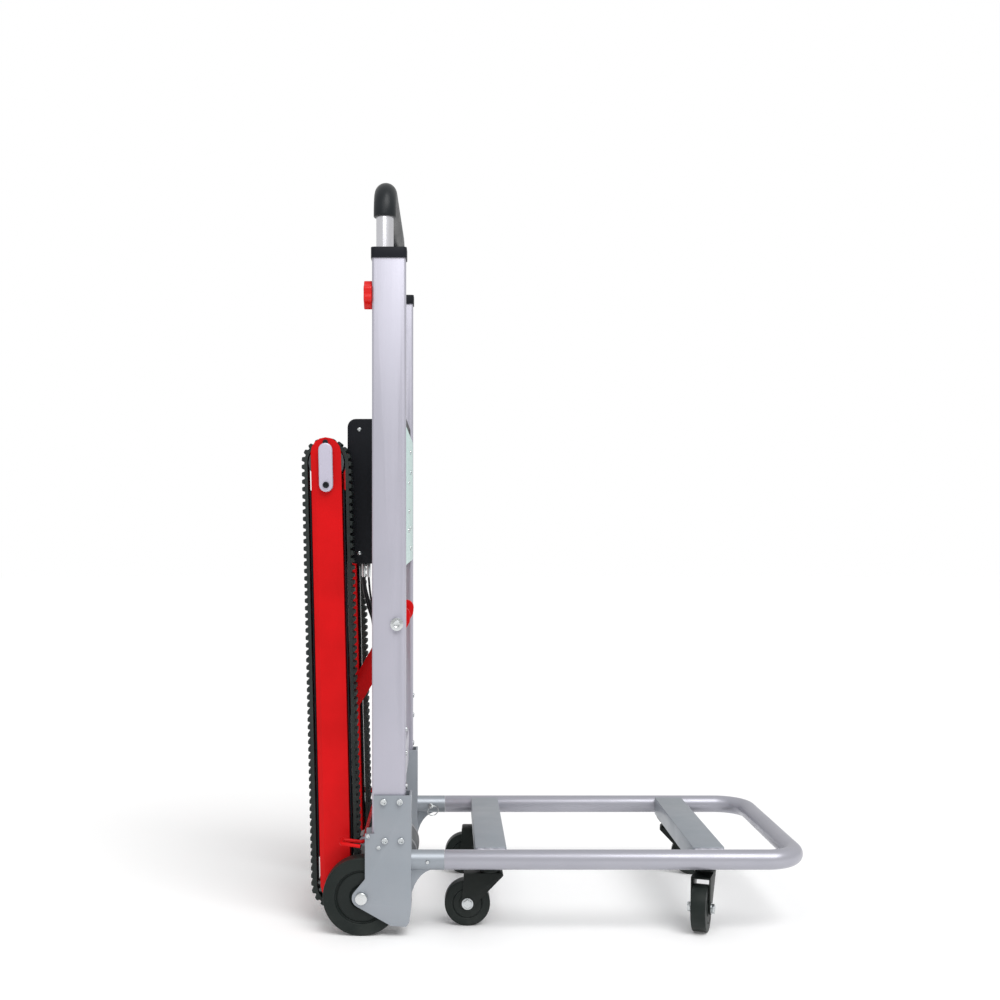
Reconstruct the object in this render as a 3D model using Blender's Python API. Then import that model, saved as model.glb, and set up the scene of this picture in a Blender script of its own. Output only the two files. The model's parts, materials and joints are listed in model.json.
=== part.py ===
# Motorised stair-climbing hand truck. Two uprights carry a telescopic handle and a battery
# case. A pair of crawler tracks swings out behind them, pushed by a strut frame. Two main
# wheels run in folded brackets, and a U-shaped platform stands in front on four casters.
# x points to the platform, y across the truck and z up, from the floor at z = 0. Values are
# measured from the uprights' centre line; the finished truck is centred on the origin.

import math

import bmesh
import bpy
from mathutils import Matrix, Vector
from mathutils.geometry import delaunay_2d_cdt

MM = 0.001
GAP = 0.3 * MM              # left between pieces that touch
RUN = 0.3 * MM              # radial clearance round a shaft

# Overall sizes
HALF_WIDTH = 225 * MM       # outside of the wheel brackets
PLATFORM_FRONT = 682 * MM   # front of the platform's tube
HANDLE_TOP = 1224 * MM

# Uprights and their crossbars
UPRIGHT_DEPTH = 54 * MM
UPRIGHT_WIDTH = 36 * MM
UPRIGHT_WALL = 2 * MM
UPRIGHT_CORNER = 4 * MM
WHEEL_HEADROOM = 5 * MM     # from the main wheels up to the uprights' ends
UPRIGHT_TOP = 1100 * MM
CAP_THICKNESS = 6 * MM
CAP_SKIRT = 11 * MM
CAP_WALL = 1.5 * MM
UPPER_BAR_HEIGHT = 1040 * MM
UPPER_BAR_SIZE = 25 * MM
LOWER_BAR_BOTTOM = 211 * MM
LOWER_BAR_TALL = 59 * MM
LOWER_BAR_DEEP = 20 * MM

# Handle
HANDLE_TUBE = 28 * MM
HANDLE_WALL = 1.5 * MM
HANDLE_X = -7 * MM
HANDLE_FOOT = 700 * MM
HANDLE_BEND = 45 * MM
GRIP_WALL = 4.2 * MM
GRIP_LEG = 3.5 * MM         # the grip runs this far down past its bends
KNOB_HEIGHT = 1031 * MM
KNOB_RADIUS = 23.5 * MM
KNOB_DEPTH = 13 * MM
KNOB_LOBES = 7
KNOB_SCREW = 4 * MM

# Battery case, with its pack and its control board
CASE_REAR = -75 * MM
CASE_BOTTOM = 595 * MM
CASE_TOP = 840 * MM
CASE_HALF = 112 * MM
CASE_WALL = 3 * MM
CASE_CORNER = 14 * MM
PANEL_THICKNESS = 2 * MM
PANEL_TOP = 821 * MM
PACK_TALL = 120 * MM
PACK_CLEARANCE = 4 * MM
BOARD_THICKNESS = 3 * MM
SWITCH_HEIGHT = 800 * MM
SWITCH_RADIUS = 9 * MM
SWITCH_PROUD = 6 * MM
SWITCH_TRAVEL = 3 * MM

# Wheel brackets and main wheels
SHEET = 3 * MM
BRACKET_TOP = 227 * MM
BRACKET_FRONT = 36 * MM
BRACKET_REAR_TOP = 3 * MM     # its rear edge, in front of the upright's rear face
BRACKET_REAR_FOOT = 4 * MM
BRACKET_STEP = 11 * MM        # lower down it reaches this far behind that face,
STEP_OVER_PEDAL = 22 * MM     # from this far above the pedal's pivot
STEP_OVER_AXLE = 30.5 * MM    # down to this far above the axle
BRACKET_FRONT_FOOT = 46 * MM
BRACKET_SOLE = [(3.5 * MM, 18.6 * MM), (28 * MM, 17 * MM), (33 * MM, 24 * MM)]
EAR_RADIUS = 7 * MM
EAR_LENGTH = 12 * MM
AXLE_X = -44 * MM
WHEEL_RADIUS = 62.5 * MM
WHEEL_WIDTH = 32 * MM
HUB_RADIUS = 42.5 * MM
AXLE_RADIUS = 6 * MM
LOBE_RADIUS = 15 * MM
BOLT_HEAD = 10 * MM
BOLT_HEAD_DEPTH = 5 * MM

# Crawler tracks, in a frame that leans back with them
DRIVE_X = -90 * MM
DRIVE_Z = 66.5 * MM
TRACK_LEAN = math.radians(1.315)
TRACK_LENGTH = 697 * MM     # drive axis to idler axis
TRACK_OUTSIDE = 168 * MM
TRACK_PLATE = 3 * MM
TRACK_PLATE_RADIUS = 25 * MM
TRACK_PLATE_OVER = 16.5 * MM
BELT_WIDTH = 40 * MM
BELT_INNER = 30 * MM
BELT_THICKNESS = 5 * MM
LUG_HEIGHT = 6 * MM         # the belt's outside is the plain envelope of its lugs
DRIVE_SHAFT_RADIUS = 10 * MM
IDLER_PIN_RADIUS = 6 * MM
SPROCKET_TEETH = 14
TENSION_COVER_WIDTH = 23 * MM
TENSION_COVER_LENGTH = 81 * MM
TENSION_COVER_DEPTH = 8 * MM
CROSS_TUBE_RADIUS = 8 * MM
CROSS_TUBE_ALONG = 560 * MM

# Strut frame that pushes the tracks out
STRUT_X = 13 * MM
STRUT_Z = 501 * MM
STRUT_SHAFT_RADIUS = 6 * MM
STRUT_INSIDE = 100 * MM
STRUT_ARM_THICK = 12 * MM
STRUT_ARM_RADIUS = 17.5 * MM
STRUT_HORN = 8 * MM         # the arm runs on past the shaft to a rounded end
STRUT_HORN_RADIUS = 14 * MM
STRUT_END_RADIUS = 14 * MM
STRUT_HEAD_RADIUS = 10.5 * MM
STRUT_PIN_ALONG = 248 * MM  # from the drive axis, at rest
STRUT_PIN_OUT = 284 * MM    # from the drive axis, fully swung out
STRUT_PIN_RADIUS = 5.5 * MM
STRUT_SLOT_CLEARANCE = 4.5 * MM
STRUT_TIE_RADIUS = 10 * MM
STRUT_TIE_SHARE = 0.69      # how far down the arms the tie tube sits

# Motor, gearbox and brake pedal
MOTOR_X = 2 * MM
MOTOR_Z = 105 * MM
MOTOR_RADIUS = 42 * MM
MOTOR_LENGTH = 130 * MM
MOTOR_CAP = 10 * MM
MOTOR_STEP = 4 * MM
GEARBOX_HALF = 20 * MM
GEARBOX_RADIUS = 30 * MM
PEDAL_X = -43 * MM
PEDAL_OVER_WHEEL = 19 * MM
PEDAL_ROD = 3 * MM
PEDAL_REACH = 34 * MM
PEDAL_LOOP_WIDTH = 27 * MM
PEDAL_BEND = 8 * MM
CABLE_RADIUS = 4 * MM

# Platform and its casters
TUBE_RADIUS = 16 * MM
TUBE_WALL = 2 * MM
PLATFORM_Z = 119 * MM
PLATFORM_BEND = 55 * MM
SOCKET_END = 89 * MM
SPIGOT_DEPTH = 44 * MM
STUB_FACETS = 20            # enough that the spigot clears the flats of its bore
GUSSET_THICK = 4 * MM
GUSSET_OUT = 74 * MM
GUSSET_BOTTOM = 47 * MM
LOCK_PIN_X = 62 * MM
LOCK_PIN_RADIUS = 3 * MM
LOCK_PIN_HEAD = 5 * MM
CHANNEL_WIDTH = 51 * MM
CHANNEL_TALL = 32 * MM
CHANNEL_SHEET = 3 * MM
REAR_CASTER_X = 165 * MM
FRONT_CASTER_X = 520 * MM
CASTER_Y = 155 * MM
CASTER_RADIUS = 37.5 * MM
CASTER_WIDTH = 24 * MM
CASTER_TRAIL = 38 * MM
CASTER_PLATE = 3 * MM
CASTER_PLATE_SIZE = 48 * MM
CASTER_SHEET = 2.5 * MM
CASTER_CROWN_FRONT = 21 * MM
CASTER_CROWN_REAR = 43 * MM
CASTER_BOLT_RADIUS = 4 * MM
CASTER_RACE_RADIUS = 19 * MM
CASTER_TURNS = {"rear_left": 0, "rear_right": 0, "front_left": 70, "front_right": 170}

SIDES = {"left": -1, "right": 1}

# What follows from the sizes above
PLATE_INNER = HALF_WIDTH - SHEET
UPRIGHT_BOTTOM = 2 * WHEEL_RADIUS + WHEEL_HEADROOM
PEDAL_Z = 2 * WHEEL_RADIUS + PEDAL_OVER_WHEEL
UPRIGHT_Y = PLATE_INNER - GAP - UPRIGHT_WIDTH / 2
UPRIGHT_INSIDE = UPRIGHT_Y - UPRIGHT_WIDTH / 2
BRACKET_INSIDE = UPRIGHT_INSIDE - GAP
BELT_BACK = BELT_INNER + BELT_THICKNESS
BELT_OUTSIDE = TRACK_OUTSIDE - TRACK_PLATE - 2 * MM
BELT_INSIDE = BELT_OUTSIDE - BELT_WIDTH
TRACK_INSIDE = BELT_INSIDE - 2 * MM - TRACK_PLATE
IDLER_TOP_X = DRIVE_X - TRACK_LENGTH * math.sin(TRACK_LEAN)
REAR_END = IDLER_TOP_X - BELT_BACK - LUG_HEIGHT
CENTRE_X = (REAR_END + PLATFORM_FRONT) / 2
STRUT_OUTSIDE = STRUT_INSIDE + STRUT_ARM_THICK
CHANNEL_HALF = UPRIGHT_Y - TUBE_RADIUS - GAP
CHANNEL_TOP = PLATFORM_Z + TUBE_RADIUS
CHANNEL_BOTTOM = CHANNEL_TOP - CHANNEL_TALL


# ---------------------------------------------------------------- shapes

def arc(centre, radius, start, end, steps):
    """Points on an arc, angles in degrees from the first axis."""
    turns = [math.radians(start + (end - start) * i / steps) for i in range(steps + 1)]
    return [(centre[0] + radius * math.cos(a), centre[1] + radius * math.sin(a)) for a in turns]


def circle(centre, radius, steps):
    return arc(centre, radius, 0, 360, steps)[:-1]


def rounded_rectangle(low, high, radius, steps=3):
    corners = [((high[0], high[1]), 0), ((low[0], high[1]), 90),
               ((low[0], low[1]), 180), ((high[0], low[1]), 270)]
    points = []
    for (x, y), turn in corners:
        inward = (math.copysign(radius, (low[0] + high[0]) / 2 - x),
                  math.copysign(radius, (low[1] + high[1]) / 2 - y))
        points += arc((x + inward[0], y + inward[1]), radius, turn, turn + 90, steps)
    return points


def stadium(bottom, top, radius, steps=8):
    """A slot outline that runs along the second axis between two round ends."""
    return arc((0, top), radius, 0, 180, steps) + arc((0, bottom), radius, 180, 360, steps)


def hull_of_circles(circles, steps=24):
    """The outline of a belt drawn tight round several circles (centre x, centre z, radius)."""
    points = [p for x, z, r in circles for p in circle((x, z), r, steps)]
    points = sorted(set((round(x, 7), round(z, 7)) for x, z in points))
    outline = []
    for run in (points, points[::-1]):
        chain = []
        for p in run:
            while len(chain) > 1:
                a, b = chain[-2], chain[-1]
                if (b[0] - a[0]) * (p[1] - a[1]) - (b[1] - a[1]) * (p[0] - a[0]) > 0:
                    break
                chain.pop()
            chain.append(p)
        outline += chain[:-1]
    return outline


AXES = {"x": Matrix(((0, 0, 1), (1, 0, 0), (0, 1, 0))),
        "y": Matrix(((1, 0, 0), (0, 0, 1), (0, 1, 0))),
        "z": Matrix.Identity(3)}


def inside(point, walls):
    """Whether a point lies inside the outline and outside its holes."""
    crossings = 0
    for (ax, ay), (bx, by) in walls:
        if (ay > point.y) != (by > point.y):
            crossings += point.x < ax + (point.y - ay) * (bx - ax) / (by - ay)
    return crossings % 2 == 1


def filled(loops):
    """Triangles between an outline and its holes."""
    points = [Vector(p) for loop in loops for p in loop]
    edges, first = [], 0
    for loop in loops:
        edges += [(first + i, first + (i + 1) % len(loop)) for i in range(len(loop))]
        first += len(loop)
    walls = [(points[i], points[j]) for i, j in edges]
    points, _, triangles, *_ = delaunay_2d_cdt(points, edges, [], 0, 1e-7)
    middles = [sum((points[i] for i in t), Vector((0, 0))) / 3 for t in triangles]
    return points, [t for t, middle in zip(triangles, middles) if inside(middle, walls)]


def prism(outline, low, high, axis="y", holes=()):
    """An outline, with its holes, extruded along an axis from low to high."""
    bm = bmesh.new()
    turn = AXES[axis]
    points, faces = filled([outline, *holes]) if holes else (outline, [range(len(outline))])
    verts = [bm.verts.new(turn @ Vector((a, b, low))) for a, b in points]
    for face in faces:
        bm.faces.new([verts[i] for i in face])
    grown = bmesh.ops.extrude_face_region(bm, geom=bm.faces[:], use_keep_orig=True)
    moved = [v for v in grown["geom"] if isinstance(v, bmesh.types.BMVert)]
    bmesh.ops.translate(bm, verts=moved, vec=turn @ Vector((0, 0, high - low)))
    return as_mesh(bm)


def box(low, high):
    corners = [(low[0], low[1]), (high[0], low[1]), (high[0], high[1]), (low[0], high[1])]
    return prism(corners, low[2], high[2], "z")


def turned(profile, centre, axis="y", steps=24):
    """A closed profile of (radius, distance along the axis) points, turned about the axis."""
    bm = bmesh.new()
    turn = AXES[axis]
    rings = []
    for radius, along in profile:
        rings.append([bm.verts.new(turn @ Vector((a, b, along)))
                      for a, b in circle((0, 0), radius, steps)])
    for ring, following in zip(rings, rings[1:] + rings[:1]):
        for i in range(steps):
            j = (i + 1) % steps
            bm.faces.new((ring[i], ring[j], following[j], following[i]))
    bmesh.ops.translate(bm, verts=bm.verts, vec=centre)
    return as_mesh(bm)


def rod(profile, centre, axis="y", steps=16):
    """A solid turned piece: (radius, distance) stations from one flat end to the other."""
    bm = bmesh.new()
    turn = AXES[axis]
    rings = []
    for radius, along in profile:
        rings.append([bm.verts.new(turn @ Vector((a, b, along)))
                      for a, b in circle((0, 0), radius, steps)])
    for ring, following in zip(rings, rings[1:]):
        for i in range(steps):
            j = (i + 1) % steps
            bm.faces.new((ring[i], ring[j], following[j], following[i]))
    bm.faces.new(rings[0])
    bm.faces.new(rings[-1])
    bmesh.ops.translate(bm, verts=bm.verts, vec=centre)
    return as_mesh(bm)


def rounded_path(corners, radius, steps=5):
    """A line through the corners, each rounded by an arc."""
    corners = [Vector(c) for c in corners]
    points = [corners[0]]
    for before, corner, after in zip(corners, corners[1:], corners[2:]):
        u = (before - corner).normalized()
        v = (after - corner).normalized()
        half = u.angle(v) / 2
        centre = corner + (u + v).normalized() * radius / math.sin(half)
        a = corner + u * radius / math.tan(half) - centre
        b = corner + v * radius / math.tan(half) - centre
        sweep_angle = a.angle(b)
        for i in range(steps + 1):
            t = sweep_angle * i / steps
            points.append(centre + (a * math.sin(sweep_angle - t) + b * math.sin(t))
                          / math.sin(sweep_angle))
    points.append(corners[-1])
    return points


def swept(points, radii, bore=None, steps=12):
    """A round bar along a line, or a tube where a bore is given. One radius for each point."""
    bm = bmesh.new()
    tangents = []
    for i, p in enumerate(points):
        before = next((q for q in reversed(points[:i]) if (q - p).length > GAP), None)
        after = next((q for q in points[i + 1:] if (q - p).length > GAP), None)
        ahead = (after - p).normalized() if after else Vector()
        behind = (p - before).normalized() if before else Vector()
        tangents.append((ahead + behind).normalized())
    side = tangents[0].orthogonal().normalized()
    outer, inner = [], []
    for i, (p, t) in enumerate(zip(points, tangents)):
        side = (side - t * side.dot(t)).normalized()
        up = t.cross(side)
        for rings, radius in ((outer, radii[i]), (inner, bore)):
            if radius:
                rings.append([bm.verts.new(p + side * a + up * b)
                              for a, b in circle((0, 0), radius, steps)])
    for rings in (outer, inner):
        for ring, following in zip(rings, rings[1:]):
            for k in range(steps):
                j = (k + 1) % steps
                bm.faces.new((ring[k], ring[j], following[j], following[k]))
    for end in (0, -1):
        if bore:
            for k in range(steps):
                j = (k + 1) % steps
                bm.faces.new((outer[end][k], outer[end][j], inner[end][j], inner[end][k]))
        else:
            bm.faces.new(outer[end])
    return as_mesh(bm)


def as_mesh(bm):
    bmesh.ops.recalc_face_normals(bm, faces=bm.faces)
    mesh = bpy.data.meshes.new("shape")
    bm.to_mesh(mesh)
    bm.free()
    return mesh


def combined(mesh, tools, operation):
    """The mesh after a Boolean with each tool mesh, cut from it or joined to it."""
    for tool in tools:
        base = bpy.data.objects.new("base", mesh)
        other = bpy.data.objects.new("tool", tool)
        for each in (base, other):
            bpy.context.scene.collection.objects.link(each)
        step = base.modifiers.new("boolean", "BOOLEAN")
        step.object = other
        step.operation = operation
        step.solver = "EXACT"
        graph = bpy.context.evaluated_depsgraph_get()
        mesh = bpy.data.meshes.new_from_object(base.evaluated_get(graph))
        for each in (base, other):
            bpy.data.objects.remove(each)
    return mesh


def cut(mesh, *tools):
    return combined(mesh, tools, "DIFFERENCE")


def join(mesh, *tools):
    return combined(mesh, tools, "UNION")


# ---------------------------------------------------------------- finishes and placing

def finish(name, colour, roughness, metallic=0.0):
    material = bpy.data.materials.new(name)
    material.use_nodes = True
    shader = material.node_tree.nodes["Principled BSDF"]
    shader.inputs["Base Color"].default_value = (*colour, 1)
    shader.inputs["Roughness"].default_value = roughness
    shader.inputs["Metallic"].default_value = metallic
    return material


def empty(name, parent, at, lean=0.0):
    holder = bpy.data.objects.new(name, None)
    holder.empty_display_size = 20 * MM
    bpy.context.scene.collection.objects.link(holder)
    holder.parent = parent
    holder.location = at
    holder.rotation_euler.y = -lean
    return holder


def place(name, mesh, material, parent, pivot=(0, 0, 0), turn=0.0):
    """One sub-part. Its mesh is moved so that the object's origin is at the pivot."""
    mesh = mesh.copy()
    mesh.transform(Matrix.Translation(-Vector(pivot)))
    mesh.name = name
    mesh.materials.clear()
    mesh.materials.append(material)
    mesh.shade_smooth()
    mesh.set_sharp_from_angle(angle=math.radians(35))
    part = bpy.data.objects.new(name, mesh)
    bpy.context.scene.collection.objects.link(part)
    part.parent = parent
    part.location = pivot
    part.rotation_euler.z = turn
    return part


def across(side, inner, outer):
    """The y range between two distances from the middle, on one side of the truck."""
    return sorted((side * inner, side * outer))


# ---------------------------------------------------------------- frame

def make_uprights(truck, silver, black):
    depth, width = UPRIGHT_DEPTH / 2, UPRIGHT_WIDTH / 2
    for label, side in SIDES.items():
        y = side * UPRIGHT_Y
        outline = rounded_rectangle((-depth, y - width), (depth, y + width), UPRIGHT_CORNER)
        wall = UPRIGHT_WALL
        inside = [(-depth + wall, y - width + wall), (depth - wall, y - width + wall),
                  (depth - wall, y + width - wall), (-depth + wall, y + width - wall)]
        tube = prism(outline, UPRIGHT_BOTTOM, UPRIGHT_TOP, "z", [inside])
        shaft = rod([(STRUT_SHAFT_RADIUS + RUN, -width - wall), (STRUT_SHAFT_RADIUS + RUN, width + wall)],
                    (STRUT_X, y, STRUT_Z))
        screw = rod([(KNOB_SCREW + RUN, -2 * wall), (KNOB_SCREW + RUN, wall)],
                    (-depth, y, KNOB_HEIGHT), "x")
        place("upright_" + label, cut(tube, shaft, screw), silver, truck)

        reach = GAP + CAP_WALL
        over = rounded_rectangle((-depth - reach, y - width - reach),
                                 (depth + reach, y + width + reach), UPRIGHT_CORNER + reach)
        seat = rounded_rectangle((-depth - GAP, y - width - GAP),
                                 (depth + GAP, y + width + GAP), UPRIGHT_CORNER + GAP)
        bore = circle((HANDLE_X, y), HANDLE_TUBE / 2 + RUN, 16)
        cap = prism(over, UPRIGHT_TOP - CAP_SKIRT, UPRIGHT_TOP + CAP_THICKNESS, "z", [bore])
        cap = cut(cap, prism(seat, UPRIGHT_TOP - CAP_SKIRT - wall, UPRIGHT_TOP + GAP, "z"))
        place("upright_cap_" + label, cap, black, truck)


def make_crossbars(truck, silver):
    wall = UPRIGHT_WALL
    size = UPPER_BAR_SIZE / 2
    upper = ((-size, UPPER_BAR_HEIGHT - size), (size, UPPER_BAR_HEIGHT + size))
    lower = ((0, LOWER_BAR_BOTTOM), (LOWER_BAR_DEEP, LOWER_BAR_BOTTOM + LOWER_BAR_TALL))
    bars = {"upper_crossbar": (upper, UPRIGHT_INSIDE - GAP),
            "lower_crossbar": (lower, BRACKET_INSIDE - SHEET - GAP)}
    for name, ((low, high), half) in bars.items():
        outline = [low, (high[0], low[1]), high, (low[0], high[1])]
        inside = [(low[0] + wall, low[1] + wall), (high[0] - wall, low[1] + wall),
                  (high[0] - wall, high[1] - wall), (low[0] + wall, high[1] - wall)]
        place(name, prism(outline, -half, half, "y", [inside]), silver, truck)


def make_handle(truck, bright, grip_black, knob_red):
    middle = HANDLE_TUBE / 2
    top = HANDLE_TOP - middle - GRIP_WALL - GAP
    holder = empty("handle_slide_axis", truck, (HANDLE_X, 0, HANDLE_FOOT))
    corners = [(HANDLE_X, -UPRIGHT_Y, HANDLE_FOOT), (HANDLE_X, -UPRIGHT_Y, top),
               (HANDLE_X, UPRIGHT_Y, top), (HANDLE_X, UPRIGHT_Y, HANDLE_FOOT)]
    path = rounded_path(corners, HANDLE_BEND)
    tube = swept(path, [middle] * len(path), middle - HANDLE_WALL)
    grip_foot = top - HANDLE_BEND - GRIP_LEG
    grip_corners = [(x, y, max(z, grip_foot)) for x, y, z in corners]
    grip_path = rounded_path(grip_corners, HANDLE_BEND)
    grip = swept(grip_path, [middle + GRIP_WALL + GAP] * len(grip_path), middle + GAP)
    shift = Vector((HANDLE_X, 0, HANDLE_FOOT))
    for name, mesh, material in (("handle_tube", tube, bright), ("handle_grip", grip, grip_black)):
        mesh.transform(Matrix.Translation(-shift))
        place(name, mesh, material, holder)

    rear = -UPRIGHT_DEPTH / 2 - GAP
    for label, side in SIDES.items():
        at = (0, side * UPRIGHT_Y, KNOB_HEIGHT)
        outline = []
        steps = 6 * KNOB_LOBES
        for i in range(steps):
            turn = 2 * math.pi * i / steps
            radius = KNOB_RADIUS * (0.93 + 0.07 * math.cos(KNOB_LOBES * turn))
            outline.append((at[1] + radius * math.cos(turn), at[2] + radius * math.sin(turn)))
        head = prism(outline, rear - KNOB_DEPTH, rear, "x")
        reach = HANDLE_X - middle - GAP
        screw = rod([(KNOB_SCREW, rear - KNOB_DEPTH / 2), (KNOB_SCREW, reach)], at, "x", 12)
        place("clamp_knob_" + label, join(head, screw), knob_red, truck, at)


def make_battery_case(truck, panel_finish, case_black, pack_blue, board_green, switch_red):
    front = UPRIGHT_DEPTH / 2 - PANEL_THICKNESS
    panel = box((front, -UPRIGHT_INSIDE + GAP, CASE_BOTTOM),
                (front + PANEL_THICKNESS, UPRIGHT_INSIDE - GAP, PANEL_TOP))
    place("mounting_panel", panel, panel_finish, truck)

    mouth = front - GAP
    wall, corner = CASE_WALL, CASE_CORNER

    def shell(inset, opening):
        low, high = CASE_BOTTOM + inset, CASE_TOP - inset
        rear, radius = CASE_REAR + inset, corner - inset
        return ([(opening, low), (opening, high)]
                + arc((rear + radius, high - radius), radius, 90, 180, 5)
                + arc((rear + radius, low + radius), radius, 180, 270, 5))

    case = prism(shell(0, mouth), -CASE_HALF, CASE_HALF)
    inside = prism(shell(wall, mouth + wall), -CASE_HALF + wall, CASE_HALF - wall)
    hole = SWITCH_RADIUS + RUN
    switch_hole = rod([(hole, CASE_REAR - wall), (hole, CASE_REAR + 2 * wall)], (0, 0, SWITCH_HEIGHT), "x")
    cable_at = cable_points()[0]
    gland = rod([(CABLE_RADIUS + RUN, -wall), (CABLE_RADIUS + RUN, 2 * wall)],
                (cable_at.x, cable_at.y, CASE_BOTTOM), "z")
    place("battery_case", cut(case, inside, switch_hole, gland), case_black, truck)

    low = CASE_BOTTOM + 2 * wall + PACK_CLEARANCE
    rear = CASE_REAR + wall + PACK_CLEARANCE
    half = CASE_HALF - wall - PACK_CLEARANCE
    pack = box((rear, -half, low), (mouth - 4 * PACK_CLEARANCE, half, low + PACK_TALL))
    place("battery_pack", pack, pack_blue, truck)
    board_low = low + PACK_TALL + PACK_CLEARANCE
    board = box((mouth - 2 * PACK_CLEARANCE - BOARD_THICKNESS, -half, board_low),
                (mouth - 2 * PACK_CLEARANCE, half, CASE_TOP - wall - PACK_CLEARANCE))
    place("control_board", board, board_green, truck)

    at = (CASE_REAR, 0, SWITCH_HEIGHT)
    switch = rod([(SWITCH_RADIUS - MM, -SWITCH_PROUD), (SWITCH_RADIUS, -SWITCH_PROUD + MM),
                  (SWITCH_RADIUS, wall + SWITCH_TRAVEL)], at, "x")
    place("power_switch", switch, switch_red, truck, at)


def platform_socket(side):
    """The stub that takes one end of the platform, and the gusset under it."""
    start = BRACKET_FRONT - SHEET / 2
    bore = TUBE_RADIUS - TUBE_WALL
    at = (0, side * UPRIGHT_Y, PLATFORM_Z)
    stub = turned([(TUBE_RADIUS, start), (TUBE_RADIUS, SOCKET_END), (bore, SOCKET_END), (bore, start)],
                  at, "x", STUB_FACETS)
    top = PLATFORM_Z - TUBE_RADIUS + TUBE_WALL / 2
    reach = GUSSET_OUT - start
    edge = arc((GUSSET_OUT, GUSSET_BOTTOM), reach, 180, 90, 8)
    squash = (top - GUSSET_BOTTOM) / reach
    edge = [(x, GUSSET_BOTTOM + (z - GUSSET_BOTTOM) * squash) for x, z in edge]
    low, high = at[1] - GUSSET_THICK / 2, at[1] + GUSSET_THICK / 2
    gusset = prism([(start, top), *edge], low, high)
    pin_bore = rod([(LOCK_PIN_RADIUS + RUN, -2 * TUBE_RADIUS), (LOCK_PIN_RADIUS + RUN, 2 * TUBE_RADIUS)],
                   (LOCK_PIN_X, at[1], PLATFORM_Z), "y", 8)
    return cut(join(stub, gusset), pin_bore)


def make_brackets(truck, steel, zinc):
    for label, side in SIDES.items():
        rear = -UPRIGHT_DEPTH / 2
        step_top, step_foot = PEDAL_Z + STEP_OVER_PEDAL, WHEEL_RADIUS + STEP_OVER_AXLE
        outline = [(BRACKET_FRONT, BRACKET_FRONT_FOOT), (BRACKET_FRONT, BRACKET_TOP),
                   (rear + BRACKET_REAR_TOP, BRACKET_TOP), (rear + BRACKET_REAR_FOOT, step_top),
                   (rear - BRACKET_STEP, step_top), (rear - BRACKET_STEP, step_foot)]
        outline += arc((AXLE_X, WHEEL_RADIUS), LOBE_RADIUS, 140, 245, 6)
        outline += BRACKET_SOLE
        bore = circle((AXLE_X, WHEEL_RADIUS), AXLE_RADIUS + RUN, 16)
        low, high = across(side, BRACKET_INSIDE - SHEET, HALF_WIDTH)
        bracket = prism(outline, low, high, "y", [bore])
        low, high = across(side, BRACKET_INSIDE, PLATE_INNER)
        bracket = cut(bracket, box((AXLE_X - WHEEL_RADIUS, low, 0),
                                   (BRACKET_FRONT - SHEET, high, BRACKET_TOP + SHEET)))
        ear_low, ear_high = across(side, BRACKET_INSIDE - SHEET, BRACKET_INSIDE)
        ear = hull_of_circles([(PEDAL_X, PEDAL_Z, EAR_RADIUS), (PEDAL_X + EAR_LENGTH, PEDAL_Z, EAR_RADIUS)], 16)
        ear = prism(ear, ear_low, ear_high)
        pivot = rod([(PEDAL_ROD + RUN, -2 * SHEET), (PEDAL_ROD + RUN, 2 * SHEET)],
                    (PEDAL_X, side * (BRACKET_INSIDE - SHEET / 2), PEDAL_Z))
        bracket = join(cut(join(bracket, ear), pivot), platform_socket(side))
        place("wheel_bracket_" + label, bracket, steel, truck)

        inner, outer = BRACKET_INSIDE - SHEET - BOLT_HEAD_DEPTH, HALF_WIDTH + GAP
        profile = [(AXLE_RADIUS, side * inner), (AXLE_RADIUS, side * outer),
                   (BOLT_HEAD, side * outer), (BOLT_HEAD, side * (outer + BOLT_HEAD_DEPTH))]
        place("wheel_axle_" + label, rod(profile, (AXLE_X, 0, WHEEL_RADIUS)), zinc, truck,
              (AXLE_X, side * UPRIGHT_Y, WHEEL_RADIUS))


def make_main_wheels(truck, rubber, hub_grey):
    for label, side in SIDES.items():
        at = (AXLE_X, side * UPRIGHT_Y, WHEEL_RADIUS)
        half, radius, seat = WHEEL_WIDTH / 2, WHEEL_RADIUS, HUB_RADIUS + GAP
        tyre = [(seat, -half), (radius - 6 * MM, -half), (radius - 1.5 * MM, -half + 4 * MM),
                (radius, -half + 9 * MM), (radius, half - 9 * MM),
                (radius - 1.5 * MM, half - 4 * MM), (radius - 6 * MM, half), (seat, half)]
        place("wheel_tyre_" + label, turned(tyre, at, "y", 28), rubber, truck, at)
        bore, rim, disc = AXLE_RADIUS + RUN, HUB_RADIUS, half - 7 * MM
        boss = half + 1.5 * MM
        hub = [(bore, -boss), (14 * MM, -boss), (14 * MM, -disc), (rim - 4 * MM, -disc),
               (rim, -half), (rim, half), (rim - 4 * MM, disc), (14 * MM, disc),
               (14 * MM, boss), (bore, boss)]
        place("wheel_hub_" + label, turned(hub, at, "y", 20), hub_grey, truck, at)


# ---------------------------------------------------------------- tracks and drive

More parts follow.
